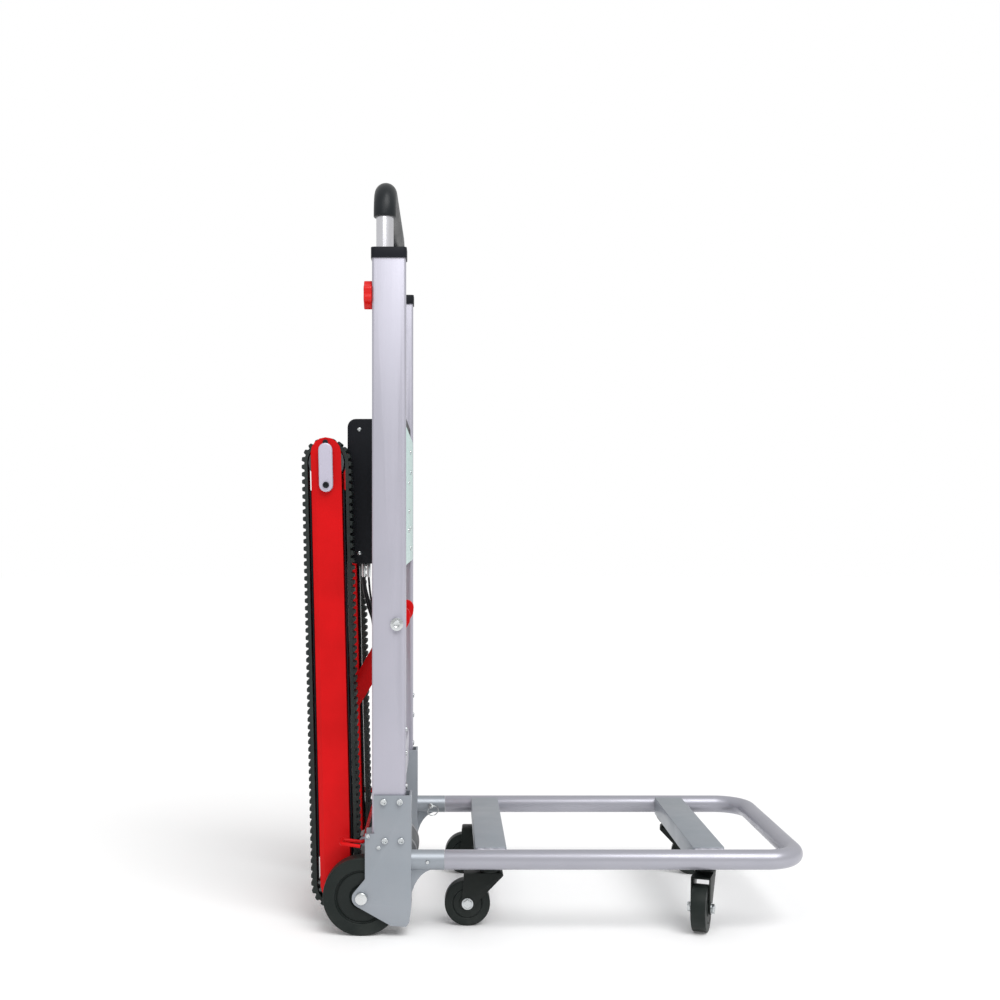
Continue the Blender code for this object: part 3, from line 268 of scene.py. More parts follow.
finishes = {
    "upright_silver": metalFinish("uprightSilver", (0.465, 0.455, 0.525), (0.435, 0.43, 0.495), 0.40, 0.45,
                                  dust=0.06, wear=0.1),
    "bracket_silver": paintFinish("bracketSilver", (0.315, 0.34, 0.375), (0.29, 0.32, 0.355), 0.36, 0.35,
                                  bump=0.08, wear=0.15, under=(0.5, 0.5, 0.5), dust=0.08),
    "tube_silver": paintFinish("tubeSilver", (0.415, 0.415, 0.465), (0.39, 0.39, 0.44), 0.33, 0.45,
                               peel=500.0, bump=0.06, wear=0.1, under=(0.5, 0.5, 0.5), dust=0.05),
    "bright_tube": metalFinish("brightTube", (0.86, 0.86, 0.90), (0.80, 0.80, 0.84), 0.24,
                               bump=0.05, dust=0.0, wear=0.0),
    "zinc": metalFinish("zincPlate", (0.66, 0.68, 0.68), (0.52, 0.55, 0.57), 0.24, across=400, along=300,
                        dust=0.04),
    "machined_steel": metalFinish("machinedSteel", (0.42, 0.42, 0.44), (0.34, 0.34, 0.36), 0.32, axis="y"),
    "pulley_alloy": metalFinish("pulleyAlloy", (0.10, 0.105, 0.11), (0.07, 0.075, 0.08), 0.42, 0.6, axis="y"),
    "cast_alloy": paintFinish("castAlloy", (0.30, 0.35, 0.35), (0.22, 0.27, 0.27), 0.5, 0.6,
                              peel=320.0, bump=0.5),
    "motor_grey": paintFinish("motorGrey", (0.10, 0.105, 0.115), (0.075, 0.08, 0.085), 0.42, 0.2, bump=0.15),
    "track_red": paintFinish("trackRed", (0.66, 0.004, 0.006), (0.55, 0.003, 0.004), 0.42,
                             peel=420.0, bump=0.12, under=(0.14, 0.006, 0.006), dust=0.02, wear=0.3, gloss=0.12),
    "knob_red": paintFinish("knobRed", (0.70, 0.004, 0.001), (0.60, 0.003, 0.001), 0.30, peel=300.0, bump=0.05,
                            coat=0.15, under=(0.35, 0.004, 0.002), dust=0.02, wear=0.1, gloss=0.3),
    "black_plastic": paintFinish("blackPlastic", (0.009, 0.010, 0.014), (0.014, 0.016, 0.020), 0.42,
                                 peel=900.0, bump=0.3, under=(0.05, 0.05, 0.055), dust=0.01, gloss=0.15),
    "fork_black": paintFinish("forkBlack", (0.010, 0.013, 0.012), (0.016, 0.020, 0.018), 0.38,
                              peel=500.0, bump=0.15, under=(0.12, 0.12, 0.12), dust=0.02, gloss=0.16),
    "grip_rubber": gripFinish("gripRubber"),
    "belt_rubber": rubberFinish("beltRubber", (0.020, 0.025, 0.024), (0.032, 0.038, 0.036), 0.6, 0.3),
    "wheel_rubber": rubberFinish("wheelRubber", (0.009, 0.013, 0.012), (0.015, 0.020, 0.018), 0.40, 0.25,
                                 420.0, 0.12),
    "hub_plastic": paintFinish("hubPlastic", (0.009, 0.013, 0.012), (0.014, 0.018, 0.017), 0.34,
                               peel=800.0, bump=0.2, under=(0.06, 0.06, 0.06), dust=0.01, gloss=0.18),
    "cable_rubber": rubberFinish("cableRubber", (0.008, 0.008, 0.010), (0.014, 0.014, 0.016), 0.34, 0.05,
                                 600.0, 0.1),
    # the mounting panel: pale, with a green tint that is a painted reflection of a green floor
    "panel_paint": paintFinish("panelGreenPaintedReflection", (0.56, 0.73, 0.70), (0.52, 0.69, 0.665), 0.36,
                               bump=0.08, under=(0.5, 0.55, 0.55), dust=0.04, gloss=0.4),
    "cover_silver": paintFinish("coverSilver", (0.56, 0.53, 0.64), (0.52, 0.50, 0.60), 0.34, 0.25,
                                bump=0.06, under=(0.7, 0.7, 0.72), dust=0.03, wear=0.2),
    "label_paper": paintFinish("labelPaper", (0.58, 0.52, 0.36), (0.52, 0.46, 0.31), 0.55,
                               bump=0.05, dust=0.03),
    "pack_wrap": paintFinish("packWrap", (0.015, 0.07, 0.24), (0.010, 0.05, 0.19), 0.3, peel=120.0, bump=0.4,
                             coat=0.3),
    "board_green": boardFinish("boardGreen"),
}
print("stage: finishes made")


def dress(piece, finish):
    piece.data.materials.clear()
    piece.data.materials.append(finishes[finish])


slotOf = {row["node"]: row["material_slot"] for row in frame["record"]["subparts"]}
for nodeName, nodeObject in frame["nodes"].items():
    dress(nodeObject, slotOf[nodeName])


def activate(piece):
    bpy.ops.object.select_all(action="DESELECT")
    piece.select_set(True)
    bpy.context.view_layer.objects.active = piece


def settle(piece):       # the object goes to the origin and its place goes into its mesh
    activate(piece)
    bpy.ops.object.transform_apply(location=True, rotation=True, scale=True)


axisVectors = {"x": Vector((1, 0, 0)), "y": Vector((0, 1, 0)), "z": Vector((0, 0, 1))}
mergeReach = 0.00002     # vertices closer than this are one


def takeNewest(name):
    piece = bpy.context.active_object
    piece.name = name
    settle(piece)
    return piece


def newBox(name, low, high):
    bpy.ops.object.select_all(action="DESELECT")
    middle = [(a + b) / 2 for a, b in zip(low, high)]
    size = [b - a for a, b in zip(low, high)]
    bpy.ops.mesh.primitive_cube_add(size=1, location=middle, scale=size)
    return takeNewest(name)


def newRod(name, radius, middle, depth, axis="y", sidesRound=48):
    bpy.ops.object.select_all(action="DESELECT")
    bpy.ops.mesh.primitive_cylinder_add(vertices=sidesRound, radius=radius, depth=depth, location=middle,
                                        rotation=lineTurns[axis])
    return takeNewest(name)


def pickFaces(piece, test):              # edit mode, with just the faces that pass the test selected
    activate(piece)
    bpy.ops.object.mode_set(mode="EDIT")
    bpy.ops.mesh.select_mode(type="FACE")
    bpy.ops.mesh.select_all(action="DESELECT")
    bpy.ops.object.mode_set(mode="OBJECT")
    for face in piece.data.polygons:
        face.select = test(face)
    bpy.ops.object.mode_set(mode="EDIT")


def leaveEdit():
    bpy.ops.object.mode_set(mode="OBJECT")


# insets the flat ends of a turned piece step by step, each step (inwards, push out)
def stepEnds(piece, axis, steps, ends=(-1, 1)):
    along = axisVectors[axis]
    for end in ends:
        reach = max(face.center.dot(along) * end for face in piece.data.polygons)
        pickFaces(piece, lambda face: face.center.dot(along) * end > reach - 0.00001)
        for inwards, push in steps:
            bpy.ops.mesh.inset(thickness=inwards, depth=push)
        leaveEdit()


def smoothOver(piece, angle=32):
    activate(piece)
    bpy.ops.object.shade_smooth_by_angle(angle=math.radians(angle))


def roundEdges(piece, width, segments=2, angle=32):
    activate(piece)
    bevel = piece.modifiers.new("roundEdges", "BEVEL")
    bevel.width = width
    bevel.segments = segments
    bevel.limit_method = "ANGLE"
    bevel.angle_limit = math.radians(angle)
    bevel.harden_normals = False
    bpy.ops.object.modifier_apply(modifier=bevel.name)
    smoothOver(piece)


# a rod with stepped ends, from a dictionary of its radius, tall, steps and what else it has
def turnPiece(name, middle, design, axis="y", ends=(-1, 1)):
    piece = newRod(name, design["radius"], middle, design["tall"], axis, design["sidesRound"])
    stepEnds(piece, axis, design["steps"], ends)
    if "round" in design:
        roundEdges(piece, design["round"], design.get("segments", 2), design.get("angle", 32))
    return piece


def finishPiece(piece, body, slotName, replaces=(), finish=None):
    dress(piece, finish or slotName)
    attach(piece, body)
    for node in replaces:
        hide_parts(node)


def copyOf(piece, name):                 # a copy with a mesh of its own
    twin = bpy.data.objects.new(name, piece.data.copy())
    bpy.context.scene.collection.objects.link(twin)
    return twin


def joinAll(name, pieces):
    activate(pieces[0])
    for piece in pieces:
        piece.select_set(True)
    if len(pieces) > 1:
        bpy.ops.object.join()
    joined = bpy.context.active_object
    joined.name = name
    return joined


def bentWire(name, points, radius, sidesRound=3):        # a round bar along a smooth line near the points
    curve = bpy.data.curves.new(name, "CURVE")
    curve.dimensions = "3D"
    curve.bevel_depth = radius
    curve.bevel_resolution = sidesRound
    curve.resolution_u = 6
    curve.use_fill_caps = True
    line = curve.splines.new("NURBS")
    line.points.add(len(points) - 1)
    for target, point in zip(line.points, points):
        target.co = (*point, 1)
    line.order_u = 3
    line.use_endpoint_u = True
    piece = bpy.data.objects.new(name, curve)
    bpy.context.scene.collection.objects.link(piece)
    activate(piece)
    bpy.ops.object.convert(target="MESH")
    piece = bpy.context.active_object
    smoothOver(piece, 50)
    return piece


# a round tube along a line with rounded corners, made by extruding and spinning a circle
def bentTube(name, radius, corners, bend, sidesRound=40, bendSteps=14):
    corners = [Vector(corner) for corner in corners]
    first = (corners[1] - corners[0]).normalized()
    bpy.ops.object.select_all(action="DESELECT")
    bpy.ops.mesh.primitive_circle_add(vertices=sidesRound, radius=radius, location=corners[0],
                                      rotation=first.to_track_quat("Z", "Y").to_euler())
    piece = takeNewest(name)
    bpy.ops.object.mode_set(mode="EDIT")
    bpy.ops.mesh.select_mode(type="VERT")
    bpy.ops.mesh.select_all(action="SELECT")
    here = corners[0]
    for before, corner, after in zip(corners, corners[1:], corners[2:]):
        into = (corner - before).normalized()
        out = (after - corner).normalized()
        turn = into.angle(out)
        reach = bend * math.tan(turn / 2)
        start = corner - into * reach
        bpy.ops.mesh.extrude_region_move(TRANSFORM_OT_translate={"value": start - here})
        axis = into.cross(out).normalized()
        centre = start + axis.cross(into) * bend
        bpy.ops.mesh.spin(steps=bendSteps, angle=-turn, center=centre, axis=axis)
        here = corner + out * reach
    bpy.ops.mesh.extrude_region_move(TRANSFORM_OT_translate={"value": corners[-1] - here})
    bpy.ops.mesh.select_all(action="SELECT")
    bpy.ops.mesh.remove_doubles(threshold=0.00001)
    bpy.ops.mesh.fill_holes(sides=0)
    bpy.ops.mesh.normals_make_consistent(inside=False)
    leaveEdit()
    return piece


def middleOf(node):
    low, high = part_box(node)
    return Vector([(a + b) / 2 for a, b in zip(low, high)])


def bodyOf(node):
    return next(body for body, nodes in frame["record"]["behaviour"]["bodies"].items() if node in nodes)


# a copy of a CAD node with its triangles merged and its hard edges rounded
def softenNode(node, width, segments=2):
    piece = copyOf(frame["nodes"][node], node + "_body")
    activate(piece)
    bpy.ops.object.mode_set(mode="EDIT")
    bpy.ops.mesh.select_all(action="SELECT")
    bpy.ops.mesh.remove_doubles(threshold=mergeReach)
    bpy.ops.mesh.dissolve_limited(angle_limit=math.radians(0.5))
    leaveEdit()
    roundEdges(piece, width, segments)
    finishPiece(piece, bodyOf(node), slotOf[node], [node])
    return piece


# screws and bolts are drawn as shares of their radius, washers as thick as they are
hexDesign = {"washerWide": 1.32, "washerThick": 0.0012, "washerRound": 0.0003, "headWide": 1.12, "flat": 0.10,
             "dish": 0.12, "dishDeep": 0.06, "round": 0.07}
socketDesign = {"tall": 0.7, "shoulder": 0.12, "crown": 0.10, "face": 0.33, "lip": 0.03, "deep": 0.55,
                "round": 0.08}
crossDesign = {"tall": 0.4, "domes": [(0.22, 0.16), (0.3, 0.08)], "slotLong": 0.62, "slotWide": 0.13,
               "slotTall": 0.5, "slotUp": 0.75}
headSink = 0.0002        # how far a screw's head goes into the face under it


# a hexagon head with a dished crown, standing out along the axis on the given side
def shapeHexBolt(name, at, side, radius, tall, axis="y", washer=True):
    out = axisVectors[axis] * side
    at = Vector(at)
    start = 0.0
    pieces = []
    if washer:
        start = hexDesign["washerThick"]
        disc = newRod(name + "_washer", radius * hexDesign["washerWide"], at + out * start / 2, start, axis,
                      32)
        roundEdges(disc, hexDesign["washerRound"])
        pieces.append(disc)
    head = newRod(name, radius * hexDesign["headWide"], at + out * (start + tall / 2), tall, axis, 6)
    stepEnds(head, axis, [(radius * hexDesign["flat"], 0),
                          (radius * hexDesign["dish"], -radius * hexDesign["dishDeep"])], ends=(side,))
    roundEdges(head, radius * hexDesign["round"], 2, 25)
    pieces.append(head)
    return joinAll(name, pieces)


# a round head with a socket sunk in it
def makeSocketScrew(name, at, side, radius, slotName, body, axis="y", tall=None):
    out = axisVectors[axis] * side
    tall = tall or radius * socketDesign["tall"]
    head = newRod(name, radius, Vector(at) + out * (tall / 2 - headSink), tall, axis, 36)
    stepEnds(head, axis, [(radius * socketDesign["shoulder"], radius * socketDesign["crown"]),
                          (radius * socketDesign["face"], 0),
                          (radius * socketDesign["lip"], -tall * socketDesign["deep"])], ends=(side,))
    roundEdges(head, radius * socketDesign["round"], 2, 40)
    finishPiece(head, body, slotName)


# a low domed screw with a cross cut in it
def makeCrossScrew(name, at, side, radius, slotName, body, axis="y"):
    out = axisVectors[axis] * side
    tall = radius * crossDesign["tall"]
    head = newRod(name, radius, Vector(at) + out * (tall / 2 - headSink), tall, axis, 32)
    domes = [(radius * inwards, radius * push) for inwards, push in crossDesign["domes"]]
    stepEnds(head, axis, domes, ends=(side,))
    flat = [letter for letter in "xyz" if letter != axis]
    middle = Vector(at) + out * radius * crossDesign["slotUp"]
    for turned in (0, 1):
        size = {axis: crossDesign["slotTall"], flat[turned]: crossDesign["slotLong"],
                flat[1 - turned]: crossDesign["slotWide"]}
        half = Vector([radius * size[letter] for letter in "xyz"])
        cutter = newBox("cutter", middle - half, middle + half)
        activate(head)
        bite = head.modifiers.new("cross", "BOOLEAN")
        bite.operation = "DIFFERENCE"
        bite.object = cutter
        bpy.ops.object.modifier_apply(modifier=bite.name)
        bpy.data.objects.remove(cutter)
    smoothOver(head, 30)
    finishPiece(head, body, slotName)


print("stage: helpers ready")


beltDesign = {"lugs": 132, "lugBase": 0.0094, "lugTip": 0.0060, "lugTall": 0.0046, "lugSink": 0.0003,
              "lugTaper": 0.985, "lugRound": 0.0008, "sideInset": 0.0004, "clear": 0.0001, "bandThick": 0.005,
              "endSteps": 32}
railDesign = {"start": 0.045, "out": 0.0275, "inner": 0.0022, "outer": 0.0020, "sideInset": 0.004,
              "endTaper": 0.55, "round": 0.0005}
plateDesign = {"round": 0.0006, "foldWide": 0.008, "foldDeep": 0.0026, "foldLip": 0.001, "faceDeep": 0.0015}
coverDesign = {"round": 0.0022, "screwRadius": 0.0052, "screwUp": 0.0115, "adjusterRadius": 0.0034,
               "adjusterTall": 0.003, "adjusterUp": 0.0012, "adjusterIn": 0.0055}

driveAxis = middleOf("drive_shaft")
idlerAxis = middleOf("idler_pulley_left")
trackLine = Vector((idlerAxis.x - driveAxis.x, 0, idlerAxis.z - driveAxis.z))
trackLong = trackLine.length
trackUp = trackLine.normalized()
trackOut = Vector((-trackUp.z, 0, trackUp.x))        # square to the track, away from the uprights
trackPlace = (Matrix.Translation((driveAxis.x, 0, driveAxis.z))
              @ Matrix.Rotation(math.atan2(trackUp.x, trackUp.z), 4, "Y"))


def onTrack(along, out=0.0, y=0.0):
    spot = driveAxis + trackUp * along + trackOut * out
    return Vector((spot.x, y, spot.z))


def placeOnTrack(piece):                 # from upright over the origin to its place on the leaning track
    piece.matrix_world = trackPlace
    settle(piece)


# a flat strip is drawn up one side, spun over the idler, drawn down and spun round the drive
def makeBand(label, low, high, inner, back):
    band = newBox("beltBand_" + label, (inner, low, -mm), (back, high, mm))
    pickFaces(band, lambda face: face.normal.z < 0.5)
    bpy.ops.mesh.delete(type="FACE")
    leaveEdit()
    activate(band)
    bpy.ops.object.mode_set(mode="EDIT")
    bpy.ops.mesh.select_all(action="SELECT")
    bpy.ops.transform.translate(value=(0, 0, -mm))
    for rise, centre in ((trackLong, (0, 0, trackLong)), (-trackLong, (0, 0, 0))):
        bpy.ops.mesh.extrude_region_move(TRANSFORM_OT_translate={"value": (0, 0, rise)})
        bpy.ops.mesh.spin(steps=beltDesign["endSteps"], angle=math.pi, center=centre, axis=(0, 1, 0))
    bpy.ops.mesh.select_all(action="SELECT")
    bpy.ops.mesh.remove_doubles(threshold=mergeReach)
    bpy.ops.mesh.normals_make_consistent(inside=False)
    leaveEdit()
    return band


def beltSpot(reach, back):               # the turn and the height at this distance round the belt
    halfTurn = math.pi * back
    if reach < trackLong:
        return 0, reach
    if reach < trackLong + halfTurn:
        return (reach - trackLong) / back, trackLong
    if reach < 2 * trackLong + halfTurn:
        return math.pi, 2 * trackLong + halfTurn - reach
    return math.pi + (reach - 2 * trackLong - halfTurn) / back, 0


def makeBelt(label):
    node = "track_belt_" + label
    low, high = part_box(node)
    back = (driveAxis.z - low[2]) - beltDesign["lugTall"] - beltDesign["clear"]
    band = makeBand(label, low[1], high[1], back - beltDesign["bandThick"], back)
    inset = beltDesign["sideInset"]
    half = beltDesign["lugBase"] / 2
    lug = newBox("beltLug_" + label, (back - beltDesign["lugSink"], low[1] + inset, -half),
                 (back + beltDesign["lugTall"], high[1] - inset, half))
    pickFaces(lug, lambda face: face.normal.x > 0.5)
    bpy.ops.transform.resize(value=(1, beltDesign["lugTaper"], beltDesign["lugTip"] / beltDesign["lugBase"]))
    leaveEdit()
    roundEdges(lug, beltDesign["lugRound"], 1)
    around = 2 * trackLong + 2 * math.pi * back
    pieces = [band]
    for step in range(beltDesign["lugs"]):
        turn, lift = beltSpot(around * (step + 0.5) / beltDesign["lugs"], back)
        twin = copyOf(lug, "beltLug")
        twin.matrix_world = Matrix.Translation((0, 0, lift)) @ Matrix.Rotation(-turn, 4, "Y")
        pieces.append(twin)
    bpy.data.objects.remove(lug)
    bpy.context.view_layer.update()
    belt = joinAll("belt_" + label, pieces)
    placeOnTrack(belt)
    smoothOver(belt, 24)
    finishPiece(belt, "track", "belt_rubber", [node])


def makeSlideRails(label):               # the belt's straight runs slide on these, between the plates
    low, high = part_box("track_belt_" + label)
    inset = railDesign["sideInset"]
    rails = []
    for side in (-1, 1):
        out = side * railDesign["out"]
        rail = newBox("slideRail", (out - railDesign["inner"], low[1] + inset, railDesign["start"]),
                      (out + railDesign["outer"], high[1] - inset, trackLong - railDesign["start"]))
        pickFaces(rail, lambda face: abs(face.normal.z) > 0.5)
        bpy.ops.transform.resize(value=(railDesign["endTaper"], 1, 1))
        leaveEdit()
        rails.append(rail)
    pair = joinAll("slideRails_" + label, rails)
    roundEdges(pair, railDesign["round"])
    placeOnTrack(pair)
    finishPiece(pair, "track", "black_plastic")


def makeTrackPlates(label):
    side = sides[label]
    outer = softenNode("track_outer_plate_" + label, plateDesign["round"])
    outFace = max(abs(vertex.co.y) for vertex in outer.data.vertices)
    edge = max((vertex.co - driveAxis).dot(trackOut) for vertex in outer.data.vertices)
    fold = edge - plateDesign["foldWide"]
    pickFaces(outer, lambda face: True)
    bpy.ops.mesh.bisect(plane_co=onTrack(0, fold), plane_no=trackOut)
    leaveEdit()
    for vertex in outer.data.vertices:               # the rear edge is folded back a little
        out = (vertex.co - driveAxis).dot(trackOut)
        if out > fold and abs(vertex.co.y) > outFace - plateDesign["faceDeep"]:
            share = min(1, (out - fold) / (plateDesign["foldWide"] - plateDesign["foldLip"]))
            vertex.co.y -= side * plateDesign["foldDeep"] * share
    smoothOver(outer, 12)
    softenNode("track_inner_plate_" + label, plateDesign["round"])


def makeTensionCover(label):
    side = sides[label]
    node = "tension_cover_" + label
    cover = softenNode(node, coverDesign["round"], 3)
    face = side * max(abs(vertex.co.y) for vertex in cover.data.vertices)
    lowEnd = min((vertex.co - driveAxis).dot(trackUp) for vertex in cover.data.vertices)
    highEnd = max((vertex.co - driveAxis).dot(trackUp) for vertex in frame["nodes"][node].data.vertices)
    makeSocketScrew("coverScrew_" + label, onTrack(lowEnd + coverDesign["screwUp"], 0, face), side,
                    coverDesign["screwRadius"], "black_plastic", "track")
    spot = onTrack(highEnd + coverDesign["adjusterUp"], 0, face - side * coverDesign["adjusterIn"])
    adjuster = shapeHexBolt("beltAdjuster_" + label, spot, side, coverDesign["adjusterRadius"],
                            coverDesign["adjusterTall"])
    finishPiece(adjuster, "track", "machined_steel", finish="black_plastic")


for label in sides:
    makeBelt(label)
    makeSlideRails(label)
    makeTrackPlates(label)
    makeTensionCover(label)
print("stage: tracks made")


handleDesign = {"bend": 0.045, "gripBend": 0.045, "gripInset": 0.0002, "gripRound": 0.0022}
capDesign = {"round": 0.0014}
knobDesign = {"round": 0.0032, "capSink": 0.0008}
knobCapDesign = {"radius": 0.0085, "tall": 0.0016, "steps": [(0.0012, 0.0004), (0.0045, -0.0004)],
                 "sidesRound": 36}
caseDesign = {"round": 0.0014, "screwRadius": 0.0032, "screwUp": 0.018, "screwRear": 0.02, "screwFront": 0.012}
ribDesign = {"count": 7, "start": 0.03, "step": 0.0085, "tall": 0.004, "half": 0.07, "proud": 0.0011,
             "sink": 0.0004, "round": 0.0005}
sidePanels = {            # on each side wall of the case: behind the uprights' centre, above the case's floor
    "caseStrip": {"behind": (0.0325, 0.0255), "above": (0.146, 0.215), "half": 0.0010,
                  "finish": "cover_silver"},
    "casePlate": {"behind": (0.0310, 0.0200), "above": (0.072, 0.118), "half": 0.0006,
                  "finish": "label_paper"},
}

frameX = middleOf("upright_left").x                  # centre of the uprights
uprightY = abs(middleOf("upright_left").y)


def archCorners(x, across, foot, top):   # up one leg, over and down the other
    return [(x, -across, foot), (x, -across, top), (x, across, top), (x, across, foot)]


def makeHandle():
    low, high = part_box("handle_tube")
    gripLow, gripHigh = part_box("handle_grip")
    x = (low[0] + high[0]) / 2
    radius = (high[0] - low[0]) / 2
    gripRadius = (gripHigh[0] - gripLow[0]) / 2
    across = high[1] - radius
    top = gripHigh[2] - gripRadius
    tube = bentTube("handleTube", radius, archCorners(x, across, low[2], top), handleDesign["bend"])
    smoothOver(tube)
    finishPiece(tube, "handle", "bright_tube", ["handle_tube"])
    grip = bentTube("handleGrip", gripRadius - handleDesign["gripInset"],
                    archCorners(x, across, gripLow[2], top), handleDesign["gripBend"], 44, 18)
    roundEdges(grip, handleDesign["gripRound"], 3, 50)
    finishPiece(grip, "handle", "grip_rubber", ["handle_grip"])


def makeKnob(label):
    node = "clamp_knob_" + label
    softenNode(node, knobDesign["round"], 4)
    at = middleOf(node)
    spot = (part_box(node)[0][0] + knobDesign["capSink"], at.y, at.z)
    cap = turnPiece("knobCap_" + label, spot, knobCapDesign, "x", (-1,))
    finishPiece(cap, "knob_" + label, "black_plastic")


def makeRibs(low):       # cooling ribs low on the case's rear wall
    for step in range(ribDesign["count"]):
        z = low[2] + ribDesign["start"] + step * ribDesign["step"]
        rib = newBox(f"caseRib_{step}", (low[0] - ribDesign["proud"], -ribDesign["half"], z),
                     (low[0] + ribDesign["sink"], ribDesign["half"], z + ribDesign["tall"]))
        roundEdges(rib, ribDesign["round"])
        finishPiece(rib, "root", "black_plastic")


def makeCase():
    softenNode("battery_case", caseDesign["round"], 3)
    low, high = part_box("battery_case")
    makeRibs(low)
    for label, side in sides.items():
        y = side * high[1]
        for name, panel in sidePanels.items():       # a fixing strip and a blank label
            rear, front = panel["behind"]
            foot, top = panel["above"]
            piece = newBox(f"{name}_{label}", (frameX - rear, y - panel["half"], low[2] + foot),
                           (frameX - front, y + panel["half"], low[2] + top))
            roundEdges(piece, 0.0002)
            finishPiece(piece, "root", "cover_silver", finish=panel["finish"])
        for z in (low[2] + caseDesign["screwUp"], high[2] - caseDesign["screwUp"]):
            for x in (low[0] + caseDesign["screwRear"], high[0] - caseDesign["screwFront"]):
                makeCrossScrew(f"caseScrew_{label}_{round(x / mm)}_{round(z / mm)}".replace("-", "m"),
                               (x, y, z), side, caseDesign["screwRadius"], "zinc", "root")


cableDesign = {
    "radius": 0.0039, "exit": 0.5949, "glandRadius": 0.0075, "glandTall": 0.006,
    "route": [(-52, 592), (-52, 560), (-44, 530), (-34, 502), (-28, 440), (-24, 380), (-20, 320), (-16, 270),
              (-14, 225), (-8, 190), (0, 165), (2, 147.6)],        # mm from the uprights' centre, and mm up
}
leadDesign = {"radius": 0.0019, "exits": [(-0.0500, -0.078), (-0.0405, -0.090)], "spread": 0.1}
plugDesign = {"radius": 0.0032, "tall": 0.022, "steps": [(0.0006, 0), (0.0002, 0.0016), (0.0006, 0)],
              "round": 0.0003, "sidesRound": 24}


def leadRoute(drift):                    # from the case's floor down to the motor lead
    return [(0, 0, -0.02), (0.001, 0, -0.045), (0.007, 0.002, -0.075), (0.016, 0.004, -0.10),
            (0.022, 0.006, -0.13), (0.024 + drift, 0.010, -0.17), (0.024 + drift, 0.014, -0.22),
            (0.026 + drift, 0.014, -0.30), (0.030 + drift, 0.014, -0.385)]


def makeCable():
    low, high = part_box("motor_cable")
    y = (low[1] + high[1]) / 2
    points = [(frameX + x * mm, y, z * mm) for x, z in cableDesign["route"]]
    cable = bentWire("motorCable", points, cableDesign["radius"], 4)
    finishPiece(cable, "root", "cable_rubber", ["motor_cable"])
    gland = shapeHexBolt("cableGland", (points[0][0], y, cableDesign["exit"]), -1, cableDesign["glandRadius"],
                         cableDesign["glandTall"], "z", False)
    finishPiece(gland, "root", "black_plastic")


def makeThinLeads():     # two leads leave the case through bright bullet connectors
    for count, (x, y) in enumerate(leadDesign["exits"]):
        at = Vector((frameX + x, y, cableDesign["exit"]))
        middle = at - Vector((0, 0, plugDesign["tall"] / 2))
        plug = turnPiece(f"leadPlug_{count}", middle, plugDesign, "z", (-1,))
        finishPiece(plug, "root", "zinc")
        points = [at + Vector(step) for step in leadRoute(-x * leadDesign["spread"])]
        lead = bentWire(f"thinLead_{count}", points, leadDesign["radius"])
        finishPiece(lead, "root", "cable_rubber")


crownDesign = {"radius": 0.0062, "tall": 0.0032, "out": 0.0012, "steps": [(0.0016, 0), (0.0016, -0.0012)],
               "round": 0.0007, "segments": 3, "sidesRound": 40}
panelDesign = {"screwRadius": 0.0042, "screws": [(20, 791), (45, 756), (-65, 733), (-60, 684), (-75, 651),
                                                 (40, 655), (25, 619)]}      # mm across, and mm up
nodeRounding = {"mounting_panel": 0.0005, "upper_crossbar": 0.0009, "lower_crossbar": 0.0009,
                "battery_pack": 0.003, "control_board": 0.0003, "power_switch": 0.0006, "strut_frame": 0.0014,
                "strut_shaft": 0.0004, "track_cross_tube": 0.0004, "gearbox": 0.0018, "motor": 0.0012,
                "drive_shaft": 0.0005, "drive_sprocket_left": 0.0004, "drive_sprocket_right": 0.0004,
                "idler_pulley_left": 0.0006, "idler_pulley_right": 0.0006, "foot_pedal": 0.0002}


def makeCrown(label):    # the dished end of the strut's shaft, outside the upright
    side = sides[label]
    shaft = middleOf("strut_shaft")
    y = side * (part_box("strut_shaft")[1][1] + crownDesign["out"])
    crown = turnPiece("strutCrown_" + label, (shaft.x, y, shaft.z), crownDesign, ends=(side,))
    finishPiece(crown, "root", "zinc")


makeHandle()
makeCase()
makeCable()
makeThinLeads()
for label in sides:
    makeKnob(label)
    softenNode("upright_" + label, 0.0005)
    makeCrown(label)
    softenNode("upright_cap_" + label, capDesign["round"], 3)
for count, (y, z) in enumerate(panelDesign["screws"]):
    spot = (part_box("mounting_panel")[1][0], y * mm, z * mm)
    makeCrossScrew(f"panelScrew_{count}", spot, 1, panelDesign["screwRadius"], "zinc", "root", "x")
for node, width in nodeRounding.items():
    softenNode(node, width)
print("stage: frame, handle and case made")


platformDesign = {"bend": 0.055, "round": 0.0005, "channelRound": 0.0008}
weldDesign = {"radius": 0.0034, "out": 0.0026, "down": 0.0045, "short": 0.004, "cuts": 14, "round": 0.0009,
              "ripples": [(0.10, 2400), (0.05, 5100)]}
wheelDesign = {"shoulder": 0.0035, "crown": 0.0015, "well": [(0.0004, -0.004), (0.004, 0)], "hubGap": 0.0005,
               "tyreRound": 0.0012, "hubInset": 0.0018, "rim": 0.0012, "groove": 0.0016, "grooveDeep": 0.003,
               "boss": 0.020, "bossSteps": [(0.004, -0.0026), (0.004, 0.0034)], "hubRound": 0.0005}
pinRingDesign = {"radius": 0.0105, "wire": 0.0009, "forward": 0.004, "out": 0.0012, "down": 0.0085,
                 "lean": 0.35, "twist": 0.3}
bracketDesign = {"round": 0.0006, "faceOut": 0.0213, "boltRadius": 0.0053, "boltTall": 0.0036,
                 "bolts": [(-8, 217), (18, 217), (-6, 155), (20, 155)],      # mm from the uprights, and mm up
                 "screwRadius": 0.0034, "screws": [(-16, 144), (-33, 162)], "axleRound": 0.0014}


